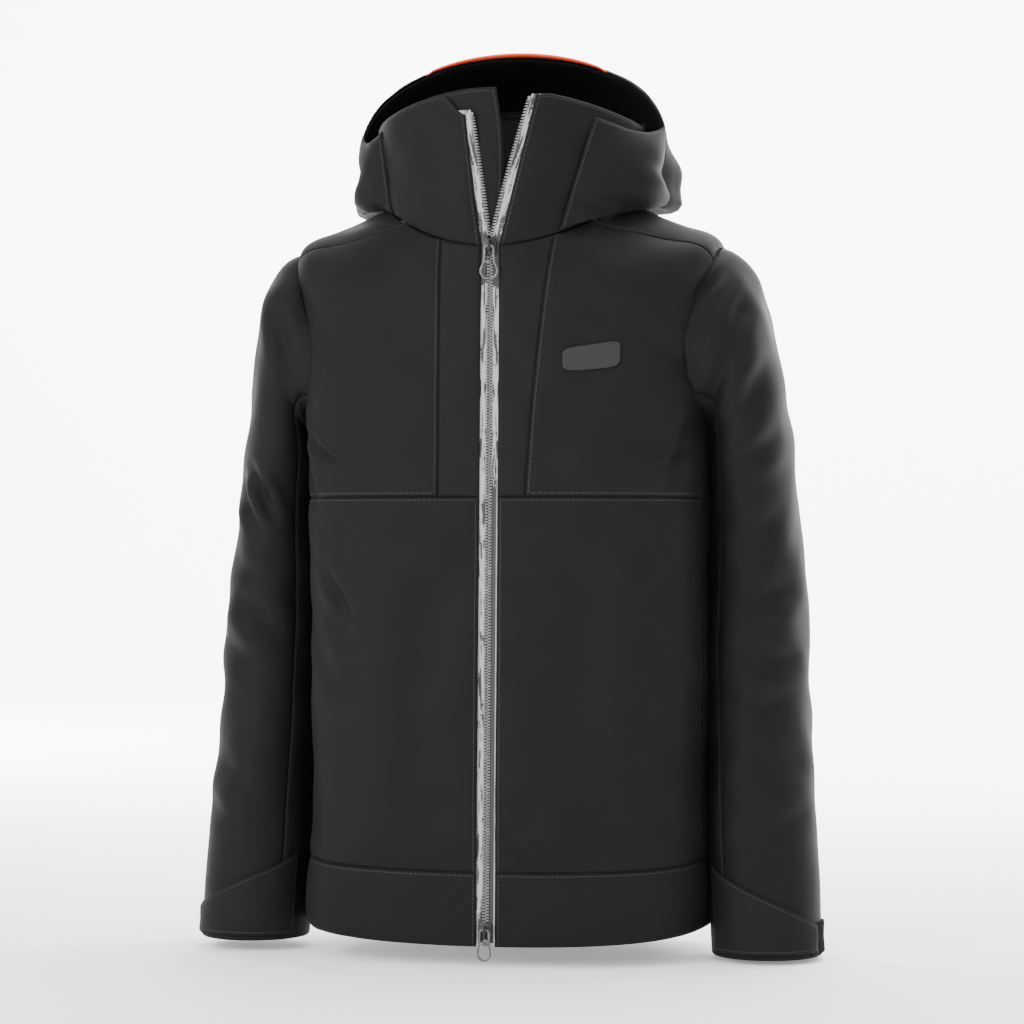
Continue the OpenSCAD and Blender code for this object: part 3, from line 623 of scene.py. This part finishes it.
def cloth_piece(name, f, body, material, nodes=None, step=0.0035, offset=0.0, thickness=0.0011, lip=0.0011,
                tuck=0.0012, puff=0.0022, wave=1.0, pucker=1.0, creased=True, rolls="lrbt",
                mirrored=False, flip=False, stitched="", calm=None):
    """A sheet of cloth on the surface f(u, v), laid out from a grid. It replaces the node of its own name,
    or else those in nodes.

    lip and tuck are the width and depth of the edges that turn in at a seam. rolls and stitched say which
    edges turn in and which have a row of stitches: left, right, bottom, top. puff is how far the cloth
    stands up between its seams, and calm(u, v) is the part of its folds that it keeps.
    """
    line = np.linspace(0, 1, 25)
    middle = np.full(25, 0.5)
    width = np.linalg.norm(np.diff(f(line, middle), axis=0), axis=1).sum()
    length = np.linalg.norm(np.diff(f(middle, line), axis=0), axis=1).sum()
    us, vs = spaced(width, step, lip), spaced(length, step, lip)
    clear_selection()
    bpy.ops.mesh.primitive_grid_add(x_subdivisions=len(us) - 1, y_subdivisions=len(vs) - 1, size=2)
    obj = bpy.context.object
    obj.name = obj.data.name = name + "_cloth"
    count = len(obj.data.vertices)
    co = np.empty(count * 3)
    obj.data.vertices.foreach_get("co", co)
    co = co.reshape(-1, 3)
    i = np.rint((co[:, 0] + 1) / 2 * (len(us) - 1)).astype(int)
    j = np.rint((co[:, 1] + 1) / 2 * (len(vs) - 1)).astype(int)
    u, v = us[i], vs[j]
    p = f(u, v)
    n = normals_of(f, u, v)
    if flip:
        n = -n
    # distances to the four edges
    across, along, part_u, part_v = spans(f, u, v, 0.01)
    wide, tall = np.linalg.norm(across, axis=-1) / part_u, np.linalg.norm(along, axis=-1) / part_v
    away = {"l": u * wide, "r": (1 - u) * wide, "b": v * tall, "t": (1 - v) * tall}
    seam = np.min([away[k] for k in rolls], axis=0) if rolls else np.full(count, 1.0)
    mirror = np.array([-1, 1, 1]) if mirrored else np.array([1, 1, 1])
    world_p, world_n = p * mirror, n * mirror
    rise = np.zeros(count)
    if puff:
        rise += puff * (1 - np.exp(-seam / 0.012)) * (0.75 + 0.25 * undulation(world_p, MEDIUM))
    free = 1 - np.exp(-seam / 0.010)
    swell = 0.0016 * undulation(world_p, SLOW) + 0.00055 * undulation(world_p, MEDIUM)
    rise += wave * swell * (0.35 + 0.65 * free)
    rise += pucker * 0.00030 * undulation(world_p, FINE) * np.exp(-seam / 0.009)
    if creased:
        rise += crease_depth(world_p, world_n)
    if calm:
        flat = puff * 0.85
        rise = flat + (rise - flat) * calm(u, v)
    if rolls:
        rise -= tuck * bell(seam / lip)
    p = (p + n * (rise + offset)[:, None]) * mirror
    obj.data.vertices.foreach_set("co", (p + HOME).ravel())
    # a UV map in metres, and a second one that holds the distances to the stitched edges
    layer = obj.data.uv_layers.active or obj.data.uv_layers.new(name="UVMap")
    corner = np.empty(len(obj.data.loops), int)
    obj.data.loops.foreach_get("vertex_index", corner)
    layer.data.foreach_set("uv", np.stack([u[corner] * width, v[corner] * length], -1).ravel())
    rows = [np.min([away[k] for k in pair if k in stitched] or [np.full(count, 0.5)], axis=0)
            for pair in ("lr", "bt")]
    seams = obj.data.uv_layers.new(name="seams")
    seams.data.foreach_set("uv", np.stack([rows[0][corner], rows[1][corner]], -1).ravel())
    obj.data.uv_layers.active_index = 0
    if mirrored != flip:
        edit_all(obj, bpy.ops.mesh.flip_normals)
    if thickness:
        solid = obj.modifiers.new("thickness", "SOLIDIFY")
        solid.thickness = thickness
        solid.offset = -1
        apply_modifiers(obj)
    pick(obj)
    bpy.ops.object.shade_smooth()
    obj.data.materials.append(MATERIALS[material])
    area = np.linalg.norm(np.cross(*cell_sides(f)), axis=-1).sum()
    obj["cut_width"], obj["cut_length"], obj["cut_area"] = width, length, area
    finish_piece(obj, [name] if nodes is None else nodes, body)
    return obj


def cell_sides(f, steps=24):
    line = np.linspace(0, 1, steps + 1)
    grid = f(*np.meshgrid(line, line, indexing="ij"))
    return grid[1:, :-1] - grid[:-1, :-1], grid[:-1, 1:] - grid[:-1, :-1]


BLENDS = {
    "hood": ((0, 0, 0.694), (0, 0, 0.775)),
    "sleeve_left": ((0.1745, 0, 0.4387), (0.2553, 0, 0.4093)),
    "sleeve_right": ((-0.1745, 0, 0.4387), (-0.2553, 0, 0.4093))}


def finish_piece(obj, nodes, body):
    if nodes:
        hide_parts(*nodes)
    if body in BLENDS:
        first, last = BLENDS[body]
        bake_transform(obj, "torso", body, start=tuple(np.array(first) + HOME), end=tuple(np.array(last) + HOME))
    else:
        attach(obj, body)


NARROWEST_SHEET = 0.0101


def as_sheet(obj, area=None):
    """Works out the size that a cloth piece was cut to, no narrower than the narrowest sheet, and its area;
    nothing further is done with them.
    """
    width, length = (max(obj[side], NARROWEST_SHEET) for side in ("cut_width", "cut_length"))
    if area is None:
        area = min(obj["cut_area"], width * length)


def band(f_edges, v0, v1, point):
    """A patch of point(a, v) between two edge angles, as a surface of u and v."""
    lo, hi = f_edges

    def patch(u, t):
        v = lerp(v0, v1, t)
        return point(lerp(lo(v), hi(v), u), v)
    return patch


def const(value):
    return lambda v: np.full_like(np.asarray(v, float), value)


SIDES = (("left", False), ("right", True))

# ---------------------------------------------------------------- body


def make_body():
    zip_edge = lambda v: angle_at(ZIP_HALF_W, v)
    yoke_edge = lambda v: front_edge(v, SIDE_A)
    stitched = {"hem_front": "lt", "lower_front": "lt", "chest": "lb"}
    seams = {"left": left_seam, "right": right_seam}
    for side, mirrored in SIDES:
        seam_line = seams[side]
        panels = [
            ("lower_front", band((zip_edge, const(SIDE_A)), HEM_V, CHEST_V, body_pt), "shell"),
            ("placket", band((zip_edge, seam_line), CHEST_V, NECK_V, body_pt), "shell_soft"),
            ("chest", band((seam_line, yoke_edge), CHEST_V, NECK_V, body_pt), "shell"),
            ("side", band((const(SIDE_A), const(180 - SIDE_A)), HEM_V, ARMPIT_V, body_pt), "shell_soft"),
            ("hem_front", band((zip_edge, const(180 - SIDE_A)), 0, HEM_V, body_pt), "shell")]
        for part, surface, material in panels:
            name = f"{part}_{side}"
            cloth_piece(name, surface, "torso", material, mirrored=mirrored,
                                  puff=0.0014 if part in ("placket", "chest") else 0.0024,
                                  stitched=stitched.get(part, ""))
    back = band((lambda v: back_edge(v, 180 - SIDE_A), lambda v: 360 - back_edge(v, 180 - SIDE_A)),
                HEM_V, YOKE_V, body_pt)
    cloth_piece("back", back, "torso", "shell", step=0.005, creased=False, stitched="t")
    hem = band((const(180 - SIDE_A), const(180 + SIDE_A)), 0, HEM_V, body_pt)
    cloth_piece("hem_back", hem, "torso", "shell", step=0.005, creased=False, stitched="t")

    def yoke(u, t):
        v = lerp(np.maximum(YOKE_V, armhole_top(lerp(72, 288, u))), NECK_V, t)
        return body_pt(lerp(yoke_a(v), 360 - yoke_a(v), u), v)
    cloth_piece("yoke", yoke, "torso", "shell_soft", step=0.004, creased=False, stitched="lr")


def make_inner_layers():
    def front(x):
        return lambda v: angle_at(x, v), lambda v: front_edge(v, 89)
    back = (lambda v: back_edge(v, 90), lambda v: 360 - back_edge(v, 90))
    hidden = dict(FLAT, pucker=0, step=0.009)
    lined = dict(hidden, offset=-0.0120, thickness=0.0006, wave=0.5)
    filled = dict(hidden, offset=-0.0062, thickness=0.003, wave=0.3)
    bagged = dict(hidden, offset=-0.0038, thickness=0.0006, wave=0.3)
    low, high = 0.01, 0.985
    for side, mirrored in SIDES:
        lining = cloth_piece(f"lining_front_{side}", band(front(0.026), low, high, body_pt), "torso",
                             "lining", mirrored=mirrored, **lined)
        as_sheet(lining)
        cloth_piece(f"wadding_front_{side}", band(front(0.017), HEM_V, high, body_pt), "torso",
                              "wadding", ["wadding_fronts"], mirrored=mirrored, **filled)
        pocket = band((const(44), const(SIDE_A - 2.2)), 0.16, 0.37, body_pt)
        bag = cloth_piece(f"hand_pocket_bag_{side}", pocket, "torso", "lining", ["hand_pocket_bags"],
                          mirrored=mirrored, **bagged)
        as_sheet(bag)
    lining = cloth_piece("lining_back", band(back, low, high, body_pt), "torso", "lining", **lined)
    as_sheet(lining)
    cloth_piece("wadding_back", band(back, HEM_V, high, body_pt), "torso", "wadding", **filled)
    bag = cloth_piece("chest_pocket_bag", band((const(13.5), const(34)), 0.54, 0.68, body_pt), "torso",
                      "lining", mirrored=True, **bagged)
    as_sheet(bag)

    def behind_zip(u, t):
        z = lerp(0.010, 0.629, t)
        return np.stack([lerp(-0.015, 0.019, u), -front_depth(z) + 0.0080, z], -1)
    flap = cloth_piece("storm_flap", behind_zip, "torso", "lining", step=0.004, thickness=0.001, wave=0.2,
                       **FLAT)
    as_sheet(flap)


# ---------------------------------------------------------------- collar and hood


def collar_front(side):
    """A collar front. Its top edge drops at the zip, more steeply on the wearer's right."""
    drop, run = {"right": (0.150, 0.16), "left": (0.020, 0.10)}[side]

    def surface(u, t):
        top = 0.955 - drop * (1 - smooth(u / run)) ** 1.3
        s = t * top
        return collar_pt(lerp(collar_edge(side, s), 88, u), s)
    return surface


# Where the hood's front wings are sewn to the collar: turn from straight ahead at the foot and at the top
WING_IN = {"left": (31.6, 45.5), "right": (62, 64)}


def wing(side):
    """The hood's front wing: from its seam on the collar round to the hood's rim, with a sagging fold."""
    foot_in, top_in = WING_IN[side]
    swell = {"left": 0.018, "right": 0.009}[side]

    def surface(u, t):
        near = collar_pt(lerp(foot_in, top_in, t), 0.02 + 0.84 * t)
        far = hood_pt(lerp(90, 57, t ** 0.8), 0 * t)
        r0, r1 = np.hypot(near[..., 0], near[..., 1]) + 0.003, np.hypot(far[..., 0], far[..., 1])
        turn0, turn1 = np.arctan2(near[..., 0], -near[..., 1]), np.arctan2(far[..., 0], -far[..., 1])
        turn = lerp(turn0, turn1, u)
        z = lerp(near[..., 2], far[..., 2], u) - 0.010 * np.sin(math.pi * u) * t
        r = lerp(r0, r1, u) + swell * np.sin(math.pi * u) * np.sin(math.pi * (0.15 + 0.75 * t))
        grip, late = smooth(u / 0.4), smooth((u - 0.35) / 0.5)
        ridge, hollow = bell((z - 0.708 + 0.010 * u) / 0.013), bell((z - 0.683 + 0.014 * u) / 0.010)
        small = bell((z - 0.736 + 0.030 * u) / 0.009)
        r = r + 0.010 * late * ridge - grip * 0.012 * hollow - late * 0.003 * small
        return np.stack([r * np.sin(turn), -r * np.cos(turn), z], -1)
    return surface


def make_collar():
    for side, mirrored in SIDES:
        cloth_piece(f"collar_{side}", collar_front(side), "torso", "shell", mirrored=mirrored,
                              stitched="lt")
        cloth_piece(f"hood_wing_{side}", wing(side), "hood", "shell", [], mirrored=mirrored,
                              creased=False, step=0.0025, puff=0.001, stitched="lrt")
    back = band((const(88), const(272)), 0, 1, collar_pt)
    cloth_piece("collar_back", back, "torso", "shell", step=0.005, creased=False)
    left_edge = lambda s: collar_edge("left", s) + 2
    right_edge = lambda s: 358 - collar_edge("right", s) - 12 * smooth((s - 0.6) / 0.3)
    inside = band((left_edge, right_edge), 0.01, 0.94, collar_pt)
    lining = cloth_piece("collar_lining", inside, "torso", "lining", offset=-0.0034, thickness=0.0008,
                         step=0.005, **FLAT)
    as_sheet(lining)
    folded_edge = lambda s: -2 - 3.5 * np.sin(math.pi * np.clip(s / 0.95, 0, 1))
    guard = band((folded_edge, const(34)), 0.02, 0.97, collar_pt)
    flap = cloth_piece("chin_guard", guard, "torso", "shell_soft", offset=-0.0062, thickness=0.0012,
                       puff=0.001, mirrored=True, stitched="lrt")
    as_sheet(flap)
    foot = band((const(90), const(270)), 0.03, 0.33, collar_pt)
    cloth_piece("hood_neck_band", foot, "torso", "shell", offset=0.0048, step=0.005,
                          puff=0.001, creased=False)


def make_hood():
    rim = dict(step=0.004, stitched="lrb")
    centre = band((const(-HOOD_SEAM_A), const(HOOD_SEAM_A)), 0, 1, hood_pt)
    cloth_piece("hood_centre", centre, "hood", "shell", **rim)
    for side, mirrored in SIDES:
        surface = band((const(HOOD_SEAM_A), const(90)), 0, 1, hood_pt)
        cloth_piece(f"hood_side_{side}", surface, "hood", "shell_soft", mirrored=mirrored,
                              **rim)
    inside = band((const(-88), const(88)), 0.005, 0.97, hood_pt)
    lining = cloth_piece("hood_lining", inside, "hood", "lining", offset=-0.0034, thickness=0.0008,
                         step=0.006, **FLAT)
    as_sheet(lining)

    def piping(u, t):
        """A narrow tube along the rim, thinning towards both ends."""
        a = lerp(26, -25, u)
        rim = hood_pt(a, 0 * a)
        way = hood_pt(a - 0.5, 0 * a) - hood_pt(a + 0.5, 0 * a)
        way /= np.linalg.norm(way, axis=-1)[..., None]
        ahead = np.stack([0 * a, -1 + 0 * a, 0 * a], -1)
        ahead -= way * (ahead * way).sum(-1)[..., None]
        rise = np.cross(way, ahead)
        radius = (0.0020 * np.sin(math.pi * np.clip(u, 0.02, 0.98)) ** 0.35)[..., None]
        turn = (2 * math.pi * t)[..., None]
        sunk = (smooth((abs(u - 0.5) - 0.45) / 0.05) * 0.0014)[..., None] + (0.0020 - radius)
        return rim + rise * (0.0008 - sunk) + radius * (ahead * np.cos(turn) + rise * np.sin(turn))
    trim = cloth_piece("hood_piping", piping, "hood", "piping", step=0.003, thickness=0, wave=0,
                       pucker=0, **FLAT)
    as_sheet(trim)


# ---------------------------------------------------------------- sleeves

SLEEVE_SEAM_A = 130


def make_sleeves():
    for side, mirrored in SIDES:
        body = f"sleeve_{side}"

        def hang(a, s, side=side):
            tucked = np.maximum(-s, 0) * 0.35
            low = 0.006 * smooth((s - 0.7) / 0.3) if side == "left" else 0 * s
            moved = np.stack([sleeve_lean(side, s) + tucked, 0 * s, low], -1)
            return sleeve_pt(a, np.maximum(s, 0)) - moved

        def cuff(u, v):
            """Folds die out towards the cuff, which the tab and its loop patch lie flat on."""
            return 1 - 0.85 * smooth((v - 0.80) / 0.08)
        upper = band((const(-SLEEVE_SEAM_A), const(SLEEVE_SEAM_A)), -0.02, 1, hang)
        cloth_piece(f"sleeve_upper_{side}", upper, body, "shell", mirrored=mirrored,
                              puff=0.002, rolls="lrt", calm=cuff)
        under = band((const(SLEEVE_SEAM_A), const(360 - SLEEVE_SEAM_A)), -0.02, 1, hang)
        cloth_piece(f"sleeve_under_{side}", under, body, "shell_soft", mirrored=mirrored,
                              puff=0.002, step=0.005, rolls="lrt", calm=cuff)
        inside = band((const(-179), const(179)), 0.02, 0.995, hang)
        lining = cloth_piece(f"sleeve_lining_{side}", inside, body, "lining", offset=-0.004,
                             thickness=0.0006, wave=0.4, step=0.008, mirrored=mirrored, **FLAT)
        as_sheet(lining)

        def tab(u, t):
            return hang(lerp(146, 24, u), lerp(lerp(0.875, 0.95, u ** 0.9), 0.9885, t))
        strap = cloth_piece(f"cuff_tab_{side}", tab, f"cuff_tab_{side}", "shell_soft", offset=0.0053,
                            thickness=0.0016, puff=0.0006, wave=0.15, creased=False, tuck=0.0006,
                            stitched="lrbt", mirrored=mirrored, flip=True)
        as_sheet(strap)
        patch = band((const(-12), const(34)), 0.947, 0.992, hang)
        loops = cloth_piece(f"cuff_loop_{side}", patch, body, "pile", offset=0.0036, thickness=0.002,
                            lip=0.001, tuck=0.0004, puff=0.0, wave=0.0, creased=False, mirrored=mirrored)
        as_sheet(loops)


# ---------------------------------------------------------------- zips, sliders and trims

ZIP_SLOPE = math.atan((0.129 - 0.106) / FRONT_LENGTH)
SLIDER_Z, BOTTOM_SLIDER_Z, ZIP_HEAD = 0.640, 0.014, 0.784
ZIP_TOP = {"right": 0.766, "left": 0.780}
OPEN_Z = SLIDER_Z + 0.010
TOOTH_PITCH = 0.0027


def front_y(x, z):
    """Depth of the front surface beside the zip, on the body and on the collar."""
    on_collar = -lerp(0.106, 0.104, (z - FRONT_LENGTH) / 0.151) * np.sqrt(1 - (x / 0.122) ** 2)
    return np.where(z < FRONT_LENGTH, -front_depth(z), on_collar)


def zip_x(side, z):
    return GAPE[side] * np.clip((z - OPEN_Z) / (ZIP_HEAD - OPEN_Z), 0, 1) ** 1.1


def on_zip(z):
    """Moves points from the zip's own plane, where -Y is outwards, to the garment."""
    c, s = math.cos(ZIP_SLOPE), math.sin(ZIP_SLOPE)

    def place(p):
        x, y, up = p.T
        return np.stack([x, y * c + up * s - front_depth(z), z - y * s + up * c], -1)
    return place


def points_of(obj):
    co = np.empty(len(obj.data.vertices) * 3)
    obj.data.vertices.foreach_get("co", co)
    return co.reshape(-1, 3)


def set_points(obj, p):
    obj.data.vertices.foreach_set("co", np.ascontiguousarray(p, float).ravel())
    obj.data.update()


def bevelled(obj, width, segments=2):
    if width:
        bevel = obj.modifiers.new("edges", "BEVEL")
        bevel.width, bevel.segments, bevel.limit_method = width, segments, "ANGLE"
        bevel.angle_limit = math.radians(35)
        apply_modifiers(obj)
    return obj


def block(low, high, bevel, segments=2):
    """A box between two corners."""
    clear_selection()
    bpy.ops.mesh.primitive_cube_add(size=1)
    obj = bpy.context.object
    low, high = np.array(low), np.array(high)
    set_points(obj, points_of(obj) * (high - low) + (low + high) / 2)
    return bevelled(obj, bevel, segments)


def face_outwards():
    bpy.ops.mesh.normals_make_consistent(inside=False)


def plate(outline, y0, y1, bevel):
    """A plate with a flat outline in X and Z, between two depths."""
    clear_selection()
    bpy.ops.mesh.primitive_circle_add(vertices=len(outline), fill_type="NGON")
    obj = bpy.context.object
    set_points(obj, [(x, y0, z) for x, z in outline])
    move = {"value": (0, y1 - y0, 0)}
    edit_all(obj, lambda: bpy.ops.mesh.extrude_region_move(TRANSFORM_OT_translate=move), face_outwards)
    return bevelled(obj, bevel)


def loop_wire(path, wide, deep, sides=10):
    """A closed ring of wire with a rounded cross-section, along a path in X and Z."""
    path = np.array(path)
    count = len(path)
    clear_selection()
    bpy.ops.mesh.primitive_torus_add(major_segments=count, minor_segments=sides)
    obj = bpy.context.object
    ahead = np.roll(path, -1, 0) - np.roll(path, 1, 0)
    ahead /= np.linalg.norm(ahead, axis=1)[:, None]
    out = np.stack([ahead[:, 1], -ahead[:, 0]], -1)
    turn = 2 * math.pi * np.arange(sides) / sides
    ring = np.stack([np.sign(np.cos(turn)) * np.abs(np.cos(turn)) ** 0.7,
                     np.sign(np.sin(turn)) * np.abs(np.sin(turn)) ** 0.7], -1)
    flat = path[:, None, :] + out[:, None, :] * ring[None, :, :1] * wide / 2
    depth = np.broadcast_to(ring[None, :, 1] * deep / 2, (count, sides))
    set_points(obj, np.stack([flat[..., 0], depth, flat[..., 1]], -1).reshape(-1, 3))
    edit_all(obj, face_outwards)
    return obj


def rounded(corners, radius, steps):
    """A closed outline through the corners, each rounded off."""
    corners = [np.array(c, float) for c in corners]
    out = []
    for k, corner in enumerate(corners):
        before, after = corners[k - 1], corners[(k + 1) % len(corners)]
        r = min(radius, 0.45 * np.linalg.norm(before - corner), 0.45 * np.linalg.norm(after - corner))
        first = corner + (before - corner) / np.linalg.norm(before - corner) * r
        last = corner + (after - corner) / np.linalg.norm(after - corner) * r
        for t in np.linspace(0, 1, steps):
            out.append((1 - t) ** 2 * first + 2 * t * (1 - t) * corner + t * t * last)
    return out


def merged(parts):
    clear_selection()
    for part in parts:
        part.select_set(True)
    bpy.context.view_layer.objects.active = parts[0]
    bpy.ops.object.join()
    return bpy.context.object


def joined(name, parts, material, place, node, body):
    """Joins parts into one hard piece, moved by place from their own space to the garment."""
    obj = merged(parts)
    obj.name = obj.data.name = name
    set_points(obj, place(points_of(obj)) + HOME)
    if np.linalg.det(frame_of(place)) < 0:
        edit_all(obj, bpy.ops.mesh.flip_normals)
    pick(obj)
    bpy.ops.object.shade_smooth_by_angle(angle=math.radians(38))
    if not obj.data.materials:
        obj.data.materials.append(MATERIALS[material])
    finish_piece(obj, [node], body)


def frame_of(place):
    """The three directions that place turns X, Y and Z into."""
    p = place(np.vstack([np.zeros(3), np.eye(3)]) * MM)
    return (p[1:] - p[0]) / MM


def make_slider(name, z, flipped):
    way = -1 if flipped else 1
    half, wide = 0.008, 0.006
    outline = [(-wide + 0.001, -half), (wide - 0.001, -half), (wide, -half + 0.002), (wide, half - 0.004),
               (wide - 0.002, half), (0.0012, half), (0, half - 0.0018), (-0.0012, half),
               (-wide + 0.002, half), (-wide, half - 0.004), (-wide, -half + 0.002)]
    parts = [plate(rounded(outline, 0.0012, 4), -0.00165, -0.00015, 0.0004),
             plate(rounded(outline, 0.0012, 4), 0.0049, 0.0064, 0.0004),
             block((-0.0006, -0.0009, -half + 0.001), (0.0006, 0.0054, half - 0.001), 0),
             block((-0.0013, -0.0069, -half + 0.003), (0.0013, -0.0057, half - 0.003), 0.0004),
             block((-0.0013, -0.0064, -half + 0.003), (0.0013, -0.0009, -half + 0.0042), 0.0003),
             block((-0.0013, -0.0064, half - 0.0042), (0.0013, -0.0009, half - 0.003), 0.0003)]
    for side in (-1, 1):
        edge = sorted((side * (wide - 0.0006), side * (wide + 0.0001)))
        parts.append(block((edge[0], -0.0014, -half + 0.0025), (edge[1], 0.0012, half - 0.0045), 0.0003))
    place = on_zip(z)
    joined(name + "_body", parts, "dark_metal", lambda p: place(p * (1, 1, way)), name, name)


def make_puller(name, z, shift, width, length):
    """The pull loop: two legs that hang from the bar and widen to an open ring."""
    half = width / 2
    corners = [(0.0040, 0.0009), (0.0046, -0.45 * length), (half - 0.001, -0.72 * length),
               (half - 0.0016, -0.84 * length), (half - 0.0048, -length + 0.001)]
    ring = corners + [(-x, up) for x, up in corners[::-1]]
    parts = [loop_wire(rounded(ring, 0.003, 6), 0.0021, 0.0019),
             block((-0.0042, -0.0008, -0.49 * length), (0.0042, 0.0008, -0.49 * length + 0.0016), 0.0004),
             block((-0.0040, -0.0008, -0.0007), (0.0040, 0.0008, 0.0009), 0.0005)]
    base = on_zip(z)
    joined(name + "_loop", parts, "metal", lambda p: base(p + (0, -0.004, shift)), name, name)


def make_teeth(side, mirrored):
    """Moulded teeth: a block on the tape's edge with a thinner head that meets the other row."""
    tooth = merged([block((0.0007, 0, -0.00082), (0.0031, 0.0030, 0.00082), 0.00028, 1),
                    block((-0.0005, 0.0010, -0.00050), (0.0010, 0.0026, 0.00050), 0, 1)])
    shape = points_of(tooth)
    shift = 0.5 if mirrored else 0.0
    heights = [0.0075 + (k + shift) * TOOTH_PITCH for k in range(int((SLIDER_Z - 0.002) / TOOTH_PITCH))]
    heights = [z for z in heights if z < SLIDER_Z - 0.006]
    upper = np.arange(SLIDER_Z + 0.0095 + shift * TOOTH_PITCH, ZIP_TOP[side] - 0.006, TOOTH_PITCH)
    places = [(0.0, z) for z in heights] + [(float(zip_x(side, z)), z) for z in upper]
    array = tooth.modifiers.new("row", "ARRAY")
    array.count = len(places)
    apply_modifiers(tooth)
    p = np.tile(shape, (len(places), 1))
    x, z = np.repeat(np.array(places), len(shape), axis=0).T
    depth = front_y(x, z) + 0.0012
    p = np.stack([p[:, 0] + x, p[:, 1] + depth, p[:, 2] + z], -1)
    # the tape's end stops
    rows = [tooth]
    for at in (0.0035, ZIP_TOP[side] - 0.004):
        stop = block((0.0002, 0, -0.0016), (0.0034, 0.0032, 0.0016), 0.0006)
        x = zip_x(side, at)
        set_points(stop, points_of(stop) + (float(x), float(front_y(x, at)) + 0.001, at))
        rows.append(stop)
    set_points(tooth, p)
    mirror = (-1, 1, 1) if mirrored else (1, 1, 1)
    joined(f"zip_teeth_{side}_row", rows, "teeth", lambda q: q * mirror, f"zip_teeth_{side}", "torso")


def make_main_zip():
    for side, mirrored in SIDES:
        def tape(u, t, side=side):
            z = lerp(0.0035, ZIP_TOP[side], t)
            x = zip_x(side, z) + lerp(0.0024, 0.0140, u)
            return np.stack([x, front_y(x, z) + 0.0022, z], -1)
        strip = cloth_piece(f"zip_tape_{side}", tape, "torso", f"tape_{side}", step=0.0024,
                            thickness=0.0008, wave=0.12, pucker=0.5, mirrored=mirrored, **FLAT)
        as_sheet(strip)
        make_teeth(side, mirrored)
    make_slider("main_slider", SLIDER_Z, False)
    make_slider("bottom_slider", BOTTOM_SLIDER_Z, True)
    make_puller("main_puller", SLIDER_Z, -0.001, 0.0180, 0.030)
    make_puller("bottom_puller", BOTTOM_SLIDER_Z, 0.001, 0.0140, 0.028)


def make_pockets():
    quiet = dict(FLAT, offset=-0.0042, thickness=0.0006, wave=0.1, step=0.004)
    chest = band((const(9.2), const(12.6)), 0.53, 0.78, body_pt)
    strip = cloth_piece("chest_pocket_zip", chest, "torso", "pocket_tape", mirrored=True, **quiet)
    as_sheet(strip)
    pocket_slider("chest_slider", 10.9, 0.548, True)
    for side, mirrored in SIDES:
        hand = band((const(SIDE_A - 1.8), const(SIDE_A + 1.8)), 0.25, 0.37, body_pt)
        strip = cloth_piece(f"hand_pocket_zip_{side}", hand, "torso", "pocket_tape", mirrored=mirrored,
                            **quiet)
        as_sheet(strip)
        pocket_slider(f"hand_slider_{side}", SIDE_A, 0.364, mirrored)


def pocket_slider(name, a, v, mirrored):
    a, v = np.array(float(a)), np.array(float(v))
    at = body_pt(a, v)
    edge = body_pt(a + 1, v) - body_pt(a - 1, v)
    turn = math.atan2(edge[1], edge[0])
    mirror = (-1, 1, 1) if mirrored else (1, 1, 1)

    def place(p):
        x, y, z = p.T
        c, s = math.cos(turn), math.sin(turn)
        return (np.stack([x * c - y * s, x * s + y * c, z], -1) + at) * mirror
    parts = [block((-0.0025, 0.0024, -0.005), (0.0025, 0.0039, 0.005), 0.0005),
             block((-0.0015, 0.0027, -0.016), (0.0015, 0.0037, -0.004), 0.0004)]
    joined(name + "_body", parts, "dark_metal", place, name, name)


def make_patch():
    """The badge: a plain rounded tab, welded on."""
    def badge(u, t):
        x, y = 2 * u - 1, 2 * t - 1
        # a square grid drawn in to a rounded oblong
        square, oblong = np.maximum(abs(x), abs(y)), (abs(x) ** 5 + abs(y) ** 5) ** 0.2
        squeeze = np.maximum(square, 1e-9) / np.maximum(oblong, 1e-9)
        x, y = x * squeeze, y * squeeze
        return body_pt(lerp(15.4, 29.5, (x + 1) / 2), lerp(0.6835, 0.7265, (y + 1) / 2))
    patch = cloth_piece("chest_patch", badge, "torso", "patch", step=0.002, offset=0.0036,
                        thickness=0.0006, lip=0, rolls="", puff=0, pucker=0)
    as_sheet(patch)


def make_hang_loop():
    def strap(u, t):
        turn = np.radians(270 + lerp(-48, 48, u))
        radius = 0.0358 + 0.0004 * np.cos(6 * math.pi * t)
        return np.stack([radius * np.cos(turn), 0.064 + 0.0286 + radius * np.sin(turn),
                         lerp(0.696, 0.704, t)], -1)
    loop = cloth_piece("hang_loop", strap, "torso", "lining", step=0.0015, thickness=0.0013, wave=0,
                       pucker=0, **FLAT)
    as_sheet(loop, area=0.9 * loop["cut_width"] * loop["cut_length"])


make_body()
make_inner_layers()
make_collar()
make_hood()
make_sleeves()
make_main_zip()
make_pockets()
make_patch()
make_hang_loop()
set_stage()
